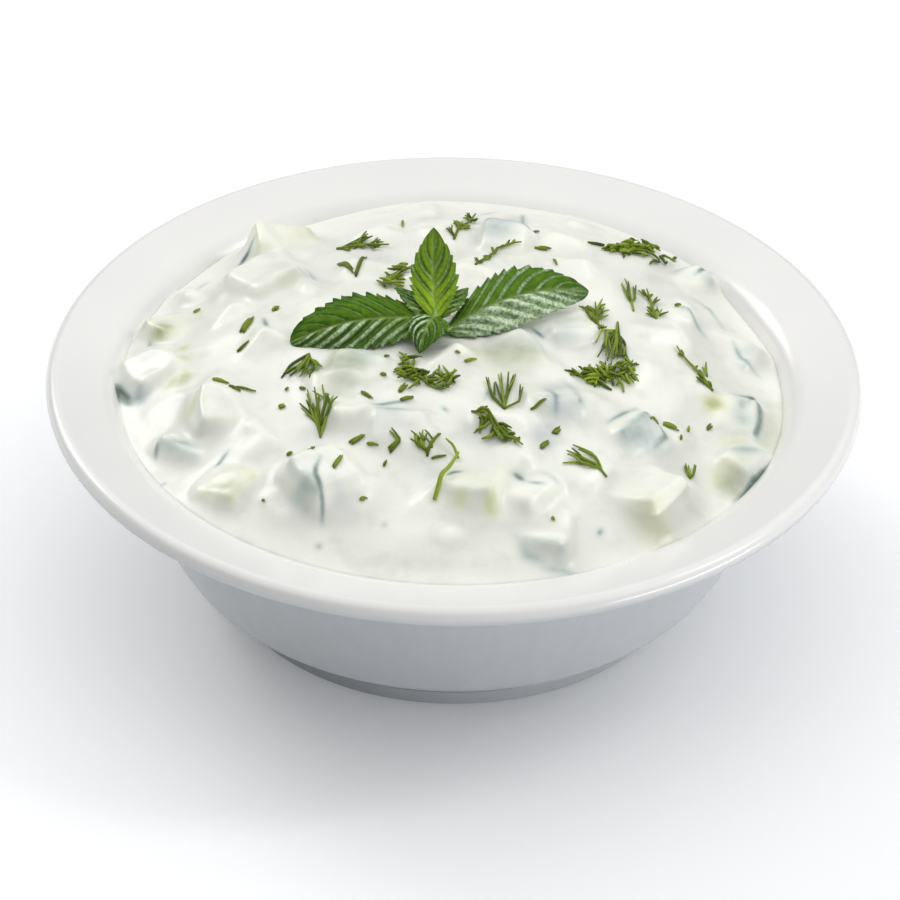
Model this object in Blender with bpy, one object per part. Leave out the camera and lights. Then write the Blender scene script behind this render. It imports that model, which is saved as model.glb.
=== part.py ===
"""Tzatziki dip heaped in a wide-rimmed porcelain bowl, with cucumber pieces and a mint sprig.

The bowl stands on the XY plane with its axis on Z, and the front is -Y. Lengths are in
metres. A bearing is an angle seen from above, anticlockwise from +X, in degrees, and a
reach is a distance from the bowl's axis.
"""

import math

import bmesh
import bpy
from mathutils import Matrix, Vector
from mathutils.geometry import delaunay_2d_cdt

MM = 0.001
GAP = 0.3 * MM  # left between two pieces that touch

# Bowl
RIM_RADIUS = 82.5 * MM
LIP_ROUND = 2.1 * MM
LIP_HEIGHT = 47.4 * MM  # of the middle of the rolled lip
LIP_SWEEP = math.radians(185)  # from the rim's top round to its underside
LIP_STEPS = 6
RIM_SLOPE = math.radians(15.5)
RIM_THICK = 4.0 * MM
EDGE_RADIUS = 68.8 * MM  # where the rim's top turns down into the bowl
EDGE_ROUND = 3.2 * MM
EDGE_LEAN = 0.8 * MM  # how far that turn's corner lies inside it
EDGE_STEPS = 4
EDGE_FOOT = 42.6 * MM  # where the inside wall starts to round over into the rim
WALL_THICK = 4.0 * MM
WALL_FOOT_RADIUS = 50.0 * MM
WALL_TOP_RADIUS = 70.4 * MM
WALL_TOP_HEIGHT = 41.8 * MM
WALL_FLARE = 0.68
INSIDE_STEPS = 4
OUTSIDE_STEPS = 4
OUTSIDE_SPREAD = 0.7  # below 1, the wall's rings draw together towards the foot
UNDER_REACH = 5.0 * MM  # from the wall's top out to where the rim's underside is straight
UNDER_LEAN = 0.9 * MM
UNDER_DROP = 3.0 * MM
UNDER_STEPS = 2
FOOT_RADIUS = 47.8 * MM
FOOT_WIDTH = 4.2 * MM
FOOT_HEIGHT = 2.7 * MM
FOOT_RECESS = 2.2 * MM
FOOT_ROUND = 0.5 * MM
FLOOR_HEIGHT = 7.0 * MM
FLOOR_RADIUS = 38.0 * MM
FLOOR_BEND = 14.0 * MM  # height at which the floor's curve has become the wall
FLOOR_LEAN = 5.0 * MM
FLOOR_STEPS = 3
BOWL_SEGMENTS = 56

# Dip
CROWN_HEIGHT = 57.5 * MM
HEAP_POWER = 2.2
EDGE_SEGMENTS = 64
EDGE_GAP = 0.45 * MM  # between the dip and the bowl's inside
SURFACE_PITCH = 4.6 * MM
CLEAR_OF_EDGE = 0.7 * SURFACE_PITCH  # the honeycomb's points stay this far inside the edge
COAT_HEIGHT = 1.4 * MM  # how far the dip climbs up round a piece that shows
COAT_SPREAD = 0.62  # radius of that swelling, as a share of the piece's length
LUMP_FALL = 0.7  # how steeply a lump falls away at its radius
LUMP_FADE = 5 * MM  # lumps die out over this width along the wall
SIDE_MIDDLE = 28 * MM  # height of the ring halfway down its side
# Level of the dip along the wall: (bearing, height). It sinks at the right and at the back left.
EDGE_LEVELS = (
    (-180, 44.4 * MM),
    (-150, 45.2 * MM),
    (-90, 45.4 * MM),
    (-62, 44.8 * MM),
    (-38, 41.8 * MM),
    (-5, 41.8 * MM),
    (25, 42.6 * MM),
    (50, 44.8 * MM),
    (90, 45.4 * MM),
    (125, 44.2 * MM),
    (155, 43.2 * MM),
    (180, 44.4 * MM),
)
# Reach of the heap's foot: (bearing, reach). A low shelf lies outside it at the right.
HEAP_REACHES = (
    (-180, 66 * MM),
    (-62, 66 * MM),
    (-30, 61 * MM),
    (20, 60 * MM),
    (50, 65 * MM),
    (180, 66 * MM),
)
# Soft lumps over pieces that lie deeper: (bearing, reach, height, radius).
LUMPS = (
    (100, 52 * MM, 1.0 * MM, 8 * MM),
    (62, 50 * MM, 1.2 * MM, 8 * MM),
    (33, 38 * MM, 1.2 * MM, 9 * MM),
    (15, 46 * MM, 1.0 * MM, 8 * MM),
    (-8, 42 * MM, 1.2 * MM, 8 * MM),
    (175, 42 * MM, 1.3 * MM, 9 * MM),
    (190, 26 * MM, 0.9 * MM, 8 * MM),
    (160, 36 * MM, 1.0 * MM, 8 * MM),
    (-98, 60 * MM, 0.9 * MM, 6 * MM),
    (-62, 35 * MM, 1.0 * MM, 8 * MM),
    (-90, 24 * MM, 0.8 * MM, 7 * MM),
)

# Cucumber
CUCUMBER_RADIUS = 21 * MM
SKIN_POINTS = 4
HEART_TAPER = 0.86  # width at the heart, as a share of the width at the skin
CUT_ROUND = 0.5 * MM
# Each piece: bearing, reach and rise of its middle above the smooth heap, its length from the
# cut heart to the skin, width and height, the bearing of its skin, and its pitch and roll.
CUCUMBER = {
    "back": (76, 39, 0.2, 9, 9, 8, 82, -8, 6),
    "back_left": (131, 56, 0.8, 12, 9, 8, 12, 13, 8),
    "left_back": (147, 46, -0.6, 12, 11, 9, 124, 12, -10),
    "left_wall": (166, 60, -1.2, 8, 9, 7, 128, 8, 10),
    "left_rim": (181, 61, -0.6, 9, 10, 7, 210, 18, 6),
    "left_front": (204, 51, -0.8, 9, 10, 8, 186, -8, -6),
    "front_left_rim": (209, 61, -1.8, 6, 9, 7, 232, -24, 0),
    "front_left_flesh": (224, 60, -1.2, 9, 9, 7, 140, 14, -12),
    "front_left": (240, 51, 0.2, 10, 10, 10, 214, 2, -6),
    "slab": (232, 34, -1.4, 8, 9, 9, 110, 14, 6),
    "under_leaf": (215, 24, -1.8, 8, 10, 8, 75, -4, 4),
    "ridge": (250, 33, -1.4, 7, 9, 8, 82, -18, 4),
    "seeds": (275, 47, -1.2, 10, 11, 8, 250, -10, 6),
    "front_line": (288, 49, -1.6, 8, 8, 8, 55, -8, -8),
    "front_rim": (287, 61, -1.6, 6, 9, 7, 244, -20, 6),
    "middle": (311, 30, -1.0, 8, 9, 8, 20, 8, -12),
    "cube": (323, 44, -0.2, 9, 8, 8, 318, -38, 5),
    "front_block": (311, 57, -1.0, 11, 13, 10, 150, 10, 6),
    "right_rim": (336, 62.5, 0.8, 6, 10, 7, 330, 12, -12),
    "right": (348.5, 58, -0.4, 8, 10, 9, 354, 10, 8),
    "right_wall": (12, 60.3, 0.0, 7, 8, 6, 225, 8, 6),
    "back_right": (38, 63, 0.4, 6, 7, 5, 130, -6, 0),
    "beside_mint": (330, 15, -2.0, 8, 10, 8, 30, -8, 8),
    "right_leaf": (3, 23, -1.4, 8, 9, 8, 300, -12, -6),
}

# Mint
HUB = Vector((-4.0, -1.6, 62.2)) * MM
HUB_RADIUS = 1.5 * MM
STEM_RADIUS = 1.1 * MM
STEM_FOOT = Vector((-2.0, 3.0, 47.0)) * MM
STEM_SIDES = 8
LEAF_THICK = 0.9 * MM
LEAF_LENGTH_STEPS = 7
LEAF_WIDTH_STEPS = 4
LEAF_BROADEST = 0.72  # below 1, the broadest place moves towards the foot
LEAF_FULLNESS = 0.85  # below 1, the outline is fuller
LEAF_FOOT = 0.3 * MM  # half the width where the leaf leaves the hub
# Each leaf: height of its foot on the hub, tip relative to the hub, width, rise of the
# midrib's bow, twist about it, cupping. Crossed pairs follow one another up the stem.
LEAVES = {
    "left": (-0.5, (-29.0, -2.0, -4.6), 12.6, 2.4, -32, 0.9),
    "right": (-0.3, (31.0, 12.6, -1.6), 12.6, 2.4, 30, 0.9),
    "back": (0.2, (-0.6, 9.4, 15.4), 9.8, -1.6, 4, -0.8),
    "front": (0.4, (-3.0, -9.0, -2.4), 7.8, 2.0, 0, 0.8),
    "inner_left": (0.8, (-5.0, 4.5, 5.0), 4.5, 0.8, 20, 0.4),
    "inner_right": (1.1, (6.0, 3.0, 5.0), 4.5, 0.8, -20, 0.4),
}


def clear_scene():
    for obj in list(bpy.data.objects):
        bpy.data.objects.remove(obj, do_unlink=True)


def make_material(name, colour, roughness):
    material = bpy.data.materials.new(name)
    material.use_nodes = True
    shader = material.node_tree.nodes["Principled BSDF"]
    shader.inputs["Base Color"].default_value = (*colour, 1.0)
    shader.inputs["Roughness"].default_value = roughness
    shader.inputs["Metallic"].default_value = 0.0
    return material


def add_object(name, bm, material, smooth_angle=None):
    """Make an object from a bmesh, with its faces turned outwards."""
    bmesh.ops.recalc_face_normals(bm, faces=bm.faces)
    mesh = bpy.data.meshes.new(name)
    bm.to_mesh(mesh)
    bm.free()
    if smooth_angle is not None:
        mesh.shade_smooth()
        mesh.set_sharp_from_angle(angle=math.radians(smooth_angle))
    mesh.materials.append(material)
    obj = bpy.data.objects.new(name, mesh)
    bpy.context.scene.collection.objects.link(obj)
    return obj


def add_boolean(obj, operation, tools):
    """Join or cut an object with helper objects, which stay out of the model themselves."""
    helpers = bpy.data.collections.new(obj.name + "_helpers")
    bpy.context.scene.collection.children.link(helpers)
    for tool in tools:
        bpy.context.scene.collection.objects.unlink(tool)
        helpers.objects.link(tool)
        tool.hide_render = True
        tool.display_type = "WIRE"
    modifier = obj.modifiers.new("shape", "BOOLEAN")
    modifier.operation = operation
    modifier.solver = "EXACT"
    modifier.operand_type = "COLLECTION"
    modifier.collection = helpers


def interpolate(table, value):
    """Smooth step between the rows of a table of (place, amount)."""
    for (low, first), (high, second) in zip(table, table[1:]):
        if value <= high:
            share = min(max((value - low) / (high - low), 0.0), 1.0)
            return first + (second - first) * share * share * (3 - 2 * share)
    return table[-1][1]


def polar(bearing, reach, height=0.0):
    angle = math.radians(bearing)
    return Vector((reach * math.cos(angle), reach * math.sin(angle), height))


def bend(start, corner, end, steps):
    """Points of a quadratic curve that rounds a corner."""
    points = []
    for step in range(steps + 1):
        t = step / steps
        first = tuple(a + (b - a) * t for a, b in zip(start, corner))
        second = tuple(a + (b - a) * t for a, b in zip(corner, end))
        points.append(tuple(a + (b - a) * t for a, b in zip(first, second)))
    return points


# ---------------------------------------------------------------- bowl


def wall_radius(height):
    """Outer radius of the bowl's wall, which flares quickly and then stands up."""
    share = max(height - FOOT_HEIGHT, 0.0) / (WALL_TOP_HEIGHT - FOOT_HEIGHT)
    return WALL_FOOT_RADIUS + (WALL_TOP_RADIUS - WALL_FOOT_RADIUS) * share**WALL_FLARE


def rim_height(radius):
    """Height of the rim's top, a cone that falls inwards from the lip."""
    lip_middle = RIM_RADIUS - LIP_ROUND
    lip_top = LIP_HEIGHT + LIP_ROUND / math.cos(RIM_SLOPE)
    return lip_top - (lip_middle - radius) * math.tan(RIM_SLOPE)


def inside_profile():
    """(radius, height) from the floor's middle up to the rim's top."""
    bend_end = (wall_radius(FLOOR_BEND) - WALL_THICK, FLOOR_BEND)
    bend_corner = (bend_end[0] - FLOOR_LEAN, FLOOR_HEIGHT)
    points = bend((FLOOR_RADIUS, FLOOR_HEIGHT), bend_corner, bend_end, FLOOR_STEPS)
    for step in range(1, INSIDE_STEPS):
        height = FLOOR_BEND + (EDGE_FOOT - FLOOR_BEND) * step / INSIDE_STEPS
        points.append((wall_radius(height) - WALL_THICK, height))
    edge_start = (wall_radius(EDGE_FOOT) - WALL_THICK, EDGE_FOOT)
    edge_corner = (EDGE_RADIUS - EDGE_LEAN, rim_height(EDGE_RADIUS))
    rim_start = EDGE_RADIUS + EDGE_ROUND
    points += bend(edge_start, edge_corner, (rim_start, rim_height(rim_start)), EDGE_STEPS)
    return points


def lip_profile():
    """The rolled lip, from the rim's top round to its underside."""
    points = []
    start = math.radians(90) + RIM_SLOPE
    for step in range(LIP_STEPS + 1):
        angle = start - LIP_SWEEP * step / LIP_STEPS
        radius = RIM_RADIUS - LIP_ROUND + LIP_ROUND * math.cos(angle)
        points.append((radius, LIP_HEIGHT + LIP_ROUND * math.sin(angle)))
    return points


def outside_profile():
    """From the rim's underside down the wall to the foot and its recess."""
    under_radius = WALL_TOP_RADIUS + UNDER_REACH
    under_start = (under_radius, rim_height(under_radius) - RIM_THICK)
    under_corner = (WALL_TOP_RADIUS + UNDER_LEAN, rim_height(WALL_TOP_RADIUS) - RIM_THICK)
    wall_start = WALL_TOP_HEIGHT - UNDER_DROP
    wall_end = (wall_radius(wall_start), wall_start)
    points = bend(under_start, under_corner, wall_end, UNDER_STEPS)
    for step in range(1, OUTSIDE_STEPS + 1):
        share = (step / OUTSIDE_STEPS) ** OUTSIDE_SPREAD
        height = wall_start + (FOOT_HEIGHT - wall_start) * share
        points.append((wall_radius(height), height))
    ring_inside = FOOT_RADIUS - FOOT_WIDTH
    points += [
        (FOOT_RADIUS - FOOT_ROUND / 2, FOOT_HEIGHT - FOOT_ROUND),
        (FOOT_RADIUS, FOOT_ROUND),
        (FOOT_RADIUS - FOOT_ROUND, 0.0),
        (ring_inside + FOOT_ROUND, 0.0),
        (ring_inside - FOOT_ROUND, FOOT_RECESS),
    ]
    return points


def add_bowl(material):
    """Turn the bowl's profile with a Screw modifier, from its floor over the rim to its foot."""
    points = [(0.0, FLOOR_HEIGHT)] + inside_profile() + lip_profile() + outside_profile()
    points.append((0.0, FOOT_RECESS))
    bm = bmesh.new()
    verts = [bm.verts.new((radius, 0.0, height)) for radius, height in points]
    for first, second in zip(verts, verts[1:]):
        bm.edges.new((first, second))
    mesh = bpy.data.meshes.new("bowl")
    bm.to_mesh(mesh)
    bm.free()
    mesh.materials.append(material)
    bowl = bpy.data.objects.new("bowl", mesh)
    bpy.context.scene.collection.objects.link(bowl)
    screw = bowl.modifiers.new("turn", "SCREW")
    screw.axis = "Z"
    screw.angle = math.radians(360)
    screw.steps = BOWL_SEGMENTS
    screw.render_steps = BOWL_SEGMENTS
    screw.use_merge_vertices = True
    screw.merge_threshold = 0.00001
    screw.use_smooth_shade = True
    return bowl


def inside_radius(height):
    """Radius of the bowl's inside at a height between its floor and its rim."""
    points = inside_profile()
    for (low_radius, low), (high_radius, high) in zip(points, points[1:]):
        if low < height <= high:
            share = (height - low) / (high - low)
            return low_radius + (high_radius - low_radius) * share
    return points[-1][0]


# ---------------------------------------------------------------- dip


def heap_height(x, y):
    """Height of the smooth heap, without lumps."""
    bearing = math.degrees(math.atan2(y, x))
    level = interpolate(EDGE_LEVELS, bearing)
    foot = interpolate(HEAP_REACHES, bearing)
    share = min(math.hypot(x, y) / foot, 1.0)
    return level + (CROWN_HEIGHT - level) * (1 - share**HEAP_POWER)


def all_lumps():
    """Every swelling of the dip: (x, y, height, radius)."""
    lumps = []
    for bearing, reach, height, radius in LUMPS:
        place = polar(bearing, reach)
        lumps.append((place.x, place.y, height, radius))
    for bearing, reach, _rise, length, width, *_turns in CUCUMBER.values():
        place = polar(bearing, reach * MM)
        lumps.append((place.x, place.y, COAT_HEIGHT, COAT_SPREAD * (length + width) / 2 * MM))
    return lumps


def wall_at(x, y):
    """Radius of the bowl's inside at the dip's level, on the bearing of a point."""
    return inside_radius(interpolate(EDGE_LEVELS, math.degrees(math.atan2(y, x))))


def dip_height(x, y, lumps):
    """Height of the dip's top. Lumps join like soft heaps, and fade out at the wall."""
    height = 0.0
    for lump_x, lump_y, rise, radius in lumps:
        distance = math.hypot(x - lump_x, y - lump_y) / radius
        height = max(height, rise * math.exp(-(distance**2) * LUMP_FALL))
    wall = wall_at(x, y)
    fade = min(max((wall - math.hypot(x, y)) / LUMP_FADE, 0.0), 1.0)
    return heap_height(x, y) + height * fade


def add_dip(material):
    """One solid that fills the bowl, from a ring of edge points and a honeycomb of top points."""
    lumps = all_lumps()
    edge = []
    for step in range(EDGE_SEGMENTS):
        bearing = 360 * step / EDGE_SEGMENTS - 180
        level = interpolate(EDGE_LEVELS, bearing)
        edge.append(polar(bearing, inside_radius(level) - EDGE_GAP, level))
    flat = [Vector((point.x, point.y)) for point in edge]
    ring = [(step, (step + 1) % EDGE_SEGMENTS) for step in range(EDGE_SEGMENTS)]
    rows = int(EDGE_RADIUS / SURFACE_PITCH) + 2
    for row in range(-rows, rows + 1):
        for column in range(-rows, rows + 1):
            x = (column + 0.5 * (row % 2)) * SURFACE_PITCH
            y = row * SURFACE_PITCH * math.sqrt(3) / 2
            if math.hypot(x, y) < wall_at(x, y) - CLEAR_OF_EDGE:
                flat.append(Vector((x, y)))
    points, _edges, faces, *_rest = delaunay_2d_cdt(flat, ring, [], 1, 1e-7)
    bm = bmesh.new()
    top = []
    for index, point in enumerate(points):
        on_edge = index < EDGE_SEGMENTS
        height = edge[index].z if on_edge else dip_height(point.x, point.y, lumps)
        top.append(bm.verts.new((point.x, point.y, height)))
    for face in faces:
        bm.faces.new([top[index] for index in face])
    add_dip_side(bm, edge, top)
    return add_object("tzatziki", bm, material, smooth_angle=50)


def add_dip_side(bm, edge, top):
    """Close the dip below its top with rings that follow the bowl's inside, and a flat floor."""
    upper = top[:EDGE_SEGMENTS]
    for limit in (EDGE_FOOT, SIDE_MIDDLE):
        ring = []
        for point in edge:
            height = min(point.z - EDGE_GAP, limit)
            radius = inside_radius(height) - EDGE_GAP
            ring.append(bm.verts.new(polar_like(point, radius, height)))
        bridge(bm, upper, ring)
        upper = ring
    for radius, height in reversed(inside_profile()[: FLOOR_STEPS + 1]):
        ring = [bm.verts.new(polar_like(point, radius - GAP, height + GAP)) for point in edge]
        bridge(bm, upper, ring)
        upper = ring
    bm.faces.new(upper)


def polar_like(point, radius, height):
    """A point on the same bearing as another."""
    direction = Vector((point.x, point.y)).normalized() * radius
    return Vector((direction.x, direction.y, height))


def bridge(bm, upper, lower):
    count = len(upper)
    for step in range(count):
        after = (step + 1) % count
        bm.faces.new((upper[step], upper[after], lower[after], lower[step]))


# ---------------------------------------------------------------- cucumber


def piece_place(bearing, reach, rise, skin, pitch, roll):
    """Where a cucumber piece lies: its skin faces the given bearing, then it tips and rolls."""
    place = polar(bearing, reach * MM)
    place.z = heap_height(place.x, place.y) + rise * MM
    turn = Matrix.Rotation(math.radians(skin), 4, "Z")
    tip = Matrix.Rotation(math.radians(pitch), 4, "Y")
    spin = Matrix.Rotation(math.radians(roll), 4, "X")
    return Matrix.Translation(place) @ turn @ tip @ spin


def block_bmesh(length, width, height, grow):
    """A piece cut from a slice: flat cuts, tapering to the heart, and a round skin at +X."""
    half_length = length / 2 + grow
    half_width = width / 2 + grow
    half_height = height / 2 + grow
    sweep = math.asin(half_width / CUCUMBER_RADIUS)
    heart = HEART_TAPER * half_width
    outline = [(-half_length, heart), (-half_length, -heart)]
    for step in range(SKIN_POINTS):
        angle = sweep * (2 * step / (SKIN_POINTS - 1) - 1)
        x = half_length - CUCUMBER_RADIUS * (1 - math.cos(angle))
        outline.append((x, CUCUMBER_RADIUS * math.sin(angle)))
    bm = bmesh.new()
    lower = bm.faces.new([bm.verts.new((x, y, -half_height)) for x, y in outline])
    made = bmesh.ops.extrude_face_region(bm, geom=[lower])
    raised = [item for item in made["geom"] if isinstance(item, bmesh.types.BMVert)]
    bmesh.ops.translate(bm, verts=raised, vec=(0.0, 0.0, 2 * half_height))
    return bm


def add_cucumber(name, sizes, material):
    """One piece, and the slightly larger cutter that makes room for it in the dip."""
    bearing, reach, rise, length, width, height, skin, pitch, roll = sizes
    place = piece_place(bearing, reach, rise, skin, pitch, roll)
    size = (length * MM, width * MM, height * MM)
    piece = add_object("cucumber_" + name, block_bmesh(*size, 0.0), material, smooth_angle=40)
    piece.matrix_world = place
    bevel = piece.modifiers.new("cut_edges", "BEVEL")
    bevel.width = CUT_ROUND
    bevel.segments = 1
    bevel.angle_limit = math.radians(40)
    cutter = add_object("room_" + name, block_bmesh(*size, GAP), material)
    cutter.matrix_world = place
    return cutter


# ---------------------------------------------------------------- mint


def leaf_half_width(share, width):
    """Half the width of a leaf: broadest a third of the way along, drawn out to a point."""
    outline = max(math.sin(math.pi * share**LEAF_BROADEST), 0.0) ** LEAF_FULLNESS
    return width / 2 * outline + LEAF_FOOT


def leaf_bmesh(foot, tip, width, bow, twist, cup, grow):
    """A leaf from the hub to its tip, as a closed thin plate round a bowed midrib."""
    start = HUB + Vector((0.0, 0.0, foot * MM))
    end = HUB + Vector(tip) * MM
    length = (end - start).length
    side_base = (end - start).cross(Vector((0, 0, 1)))
    if side_base.length < 0.5 * length:
        side_base = Vector((length, 0, 0))
    axis = (end - start).normalized()
    side = Matrix.Rotation(math.radians(twist), 3, axis) @ side_base.normalized()
    normal = side.cross(axis)
    bm = bmesh.new()
    layers = []
    for direction in (1, -1):
        rows = []
        for step in range(LEAF_LENGTH_STEPS + 1):
            share = step / LEAF_LENGTH_STEPS
            middle = start.lerp(end, share) + normal * (4 * bow * MM * share * (1 - share))
            half = leaf_half_width(share, width * MM) + grow
            row = []
            for column in range(LEAF_WIDTH_STEPS + 1):
                across = 2 * column / LEAF_WIDTH_STEPS - 1
                lift = -cup * MM * across * across * math.sin(math.pi * share)
                point = middle + side * (half * across) + normal * lift
                point += normal * (direction * (LEAF_THICK / 2 + grow))
                row.append(bm.verts.new(point))
            rows.append(row)
        layers.append(rows)
    close_plate(bm, *layers)
    return bm


def close_plate(bm, upper, lower):
    """Join two grids of points into a closed plate."""
    for rows in (upper, lower):
        for first, second in zip(rows, rows[1:]):
            for step in range(len(first) - 1):
                bm.faces.new((first[step], first[step + 1], second[step + 1], second[step]))
    above = plate_border(upper)
    below = plate_border(lower)
    count = len(above)
    for step in range(count):
        after = (step + 1) % count
        bm.faces.new((above[step], above[after], below[after], below[step]))


def plate_border(rows):
    right = [row[-1] for row in rows[1:]]
    left = [row[0] for row in reversed(rows[1:-1])]
    return rows[0] + right + list(reversed(rows[-1][:-1])) + left


def stem_bmesh(grow):
    """The stem, from inside the hub down into the dip, with a round hub on it."""
    axis = HUB - STEM_FOOT
    length = axis.length
    turn = axis.to_track_quat("Z", "Y").to_matrix().to_4x4()
    bm = bmesh.new()
    rings = []
    profile = [(STEM_RADIUS, -grow), (STEM_RADIUS, length - HUB_RADIUS)]
    profile += [(HUB_RADIUS, length - 0.3 * HUB_RADIUS), (0.6 * HUB_RADIUS, length + HUB_RADIUS)]
    for radius, height in profile:
        ring = []
        for step in range(STEM_SIDES):
            point = polar(360 * step / STEM_SIDES, radius + grow, height)
            ring.append(bm.verts.new(STEM_FOOT + turn @ point))
        rings.append(ring)
    for first, second in zip(rings, rings[1:]):
        bridge(bm, first, second)
    bm.faces.new(rings[0])
    bm.faces.new(rings[-1])
    return bm


def add_mint(material):
    """The sprig as one solid, and the slightly larger cutters that make room for it."""
    sprig = add_object("mint_sprig", stem_bmesh(0.0), material, smooth_angle=40)
    leaves = []
    cutters = [add_object("room_stem", stem_bmesh(GAP), material)]
    for name, sizes in LEAVES.items():
        leaves.append(add_object("leaf_" + name, leaf_bmesh(*sizes, 0.0), material))
        cutters.append(add_object("room_leaf_" + name, leaf_bmesh(*sizes, GAP), material))
    add_boolean(sprig, "UNION", leaves)
    return cutters


# ---------------------------------------------------------------- whole


def main():
    clear_scene()
    porcelain = make_material("white_porcelain", (0.86, 0.86, 0.85), 0.14)
    yogurt = make_material("strained_yogurt", (0.90, 0.89, 0.85), 0.32)
    cucumber = make_material("cucumber", (0.50, 0.60, 0.36), 0.3)
    mint = make_material("mint", (0.06, 0.22, 0.04), 0.45)
    add_bowl(porcelain)
    dip = add_dip(yogurt)
    cutters = [add_cucumber(name, sizes, cucumber) for name, sizes in CUCUMBER.items()]
    cutters += add_mint(mint)
    add_boolean(dip, "DIFFERENCE", cutters)


main()
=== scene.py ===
"""Looks of a tzatziki dip in its wide-rimmed bowl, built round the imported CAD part.

The script makes a glazed bowl, the yogurt with cucumber close under its surface, the cucumber
pieces, a mint sprig, dill and the stage. It is laid out as an add-on with one operator for
each of them. Lengths are in metres. A bearing is an angle seen from above, anticlockwise from
+X, in degrees, and a reach is a distance from the bowl's axis.
"""

import math
import random

import bmesh
import bpy
import numpy as np
from bpy.props import FloatProperty, FloatVectorProperty, IntProperty, PointerProperty
from mathutils import Matrix, Vector


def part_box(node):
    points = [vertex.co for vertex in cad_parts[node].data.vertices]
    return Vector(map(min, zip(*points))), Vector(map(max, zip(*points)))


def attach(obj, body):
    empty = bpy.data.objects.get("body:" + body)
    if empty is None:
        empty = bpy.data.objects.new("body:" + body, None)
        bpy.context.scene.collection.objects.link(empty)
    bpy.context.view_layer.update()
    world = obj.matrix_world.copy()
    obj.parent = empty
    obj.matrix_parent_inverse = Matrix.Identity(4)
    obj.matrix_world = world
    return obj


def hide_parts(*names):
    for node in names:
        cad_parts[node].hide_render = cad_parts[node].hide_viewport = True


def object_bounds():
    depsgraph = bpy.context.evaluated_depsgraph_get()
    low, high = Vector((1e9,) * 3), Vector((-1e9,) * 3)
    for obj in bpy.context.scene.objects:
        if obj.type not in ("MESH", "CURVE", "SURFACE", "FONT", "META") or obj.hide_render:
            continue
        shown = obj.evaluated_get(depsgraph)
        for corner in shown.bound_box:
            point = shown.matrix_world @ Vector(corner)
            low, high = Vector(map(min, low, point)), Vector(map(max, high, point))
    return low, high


bl_info = {
    "name": "Tzatziki Dip in Its Bowl",
    "version": (1, 0, 0),
    "blender": (4, 5, 0),
    "location": "3D View > Sidebar > Tzatziki",
    "description": "Bowl, yogurt, cucumber, mint and dill round the packed part",
    "category": "Object",
}

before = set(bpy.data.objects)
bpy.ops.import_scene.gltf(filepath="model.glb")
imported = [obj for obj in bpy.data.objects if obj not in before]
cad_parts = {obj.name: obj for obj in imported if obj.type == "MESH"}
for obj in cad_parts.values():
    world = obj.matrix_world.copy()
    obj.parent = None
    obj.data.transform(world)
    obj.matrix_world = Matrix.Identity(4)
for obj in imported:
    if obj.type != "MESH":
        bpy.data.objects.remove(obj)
CAD_BOX = [[float(value) for value in corner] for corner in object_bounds()]

MM = 0.001

# Bowl, as turned in the part's source.
RIM_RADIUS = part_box("bowl")[1].x
LIP_ROUND = 2.1 * MM
LIP_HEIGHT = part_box("bowl")[1].z - LIP_ROUND
LIP_SWEEP = math.radians(185)
RIM_SLOPE = math.radians(15.5)
RIM_THICK = 4.0 * MM
EDGE_RADIUS = 68.8 * MM
EDGE_ROUND = 3.2 * MM
EDGE_LEAN = 0.8 * MM
EDGE_FOOT = 42.6 * MM
WALL_THICK = 4.0 * MM
WALL_FOOT_RADIUS = 50.0 * MM
WALL_TOP_RADIUS = 70.4 * MM
WALL_TOP_HEIGHT = 41.8 * MM
WALL_FLARE = 0.68
UNDER_REACH = 5.0 * MM
UNDER_LEAN = 0.9 * MM
UNDER_DROP = 3.0 * MM
FOOT_RADIUS = 47.8 * MM
FOOT_WIDTH = 4.2 * MM
FOOT_HEIGHT = 2.7 * MM
FOOT_RECESS = 2.2 * MM
FOOT_ROUND = 0.5 * MM
SHOULDER_HEIGHT = 12.0 * MM  # here the wall turns in towards its foot ring
SHOULDER_LEAN = 2.4 * MM
SHOULDER_DROP = 3.4 * MM
RING_RADIUS = 47.6 * MM
RING_HEIGHT = 3.2 * MM
GROOVE_DEPTH = 0.5 * MM
FLOOR_HEIGHT = 7.0 * MM
FLOOR_RADIUS = 38.0 * MM
FLOOR_BEND = 14.0 * MM
FLOOR_LEAN = 5.0 * MM
PAINTED_SHADE_FADE = 1.8 * MM  # the painted shade of the body fades in this far above and below the lip's middle

# Dip, as heaped in the part's source.
CROWN_HEIGHT = 57.5 * MM
HEAP_POWER = 2.2
# Level of the dip along the wall: (bearing, height).
EDGE_LEVELS = (
    (-180, 44.4 * MM),
    (-150, 45.2 * MM),
    (-90, 45.4 * MM),
    (-62, 44.8 * MM),
    (-38, 41.8 * MM),
    (-5, 41.8 * MM),
    (25, 42.6 * MM),
    (50, 44.8 * MM),
    (90, 45.4 * MM),
    (125, 44.2 * MM),
    (155, 43.2 * MM),
    (180, 44.4 * MM),
)
# Reach of the heap's foot: (bearing, reach).
HEAP_REACHES = (
    (-180, 66 * MM),
    (-62, 66 * MM),
    (-30, 61 * MM),
    (20, 60 * MM),
    (50, 65 * MM),
    (180, 66 * MM),
)
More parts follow.
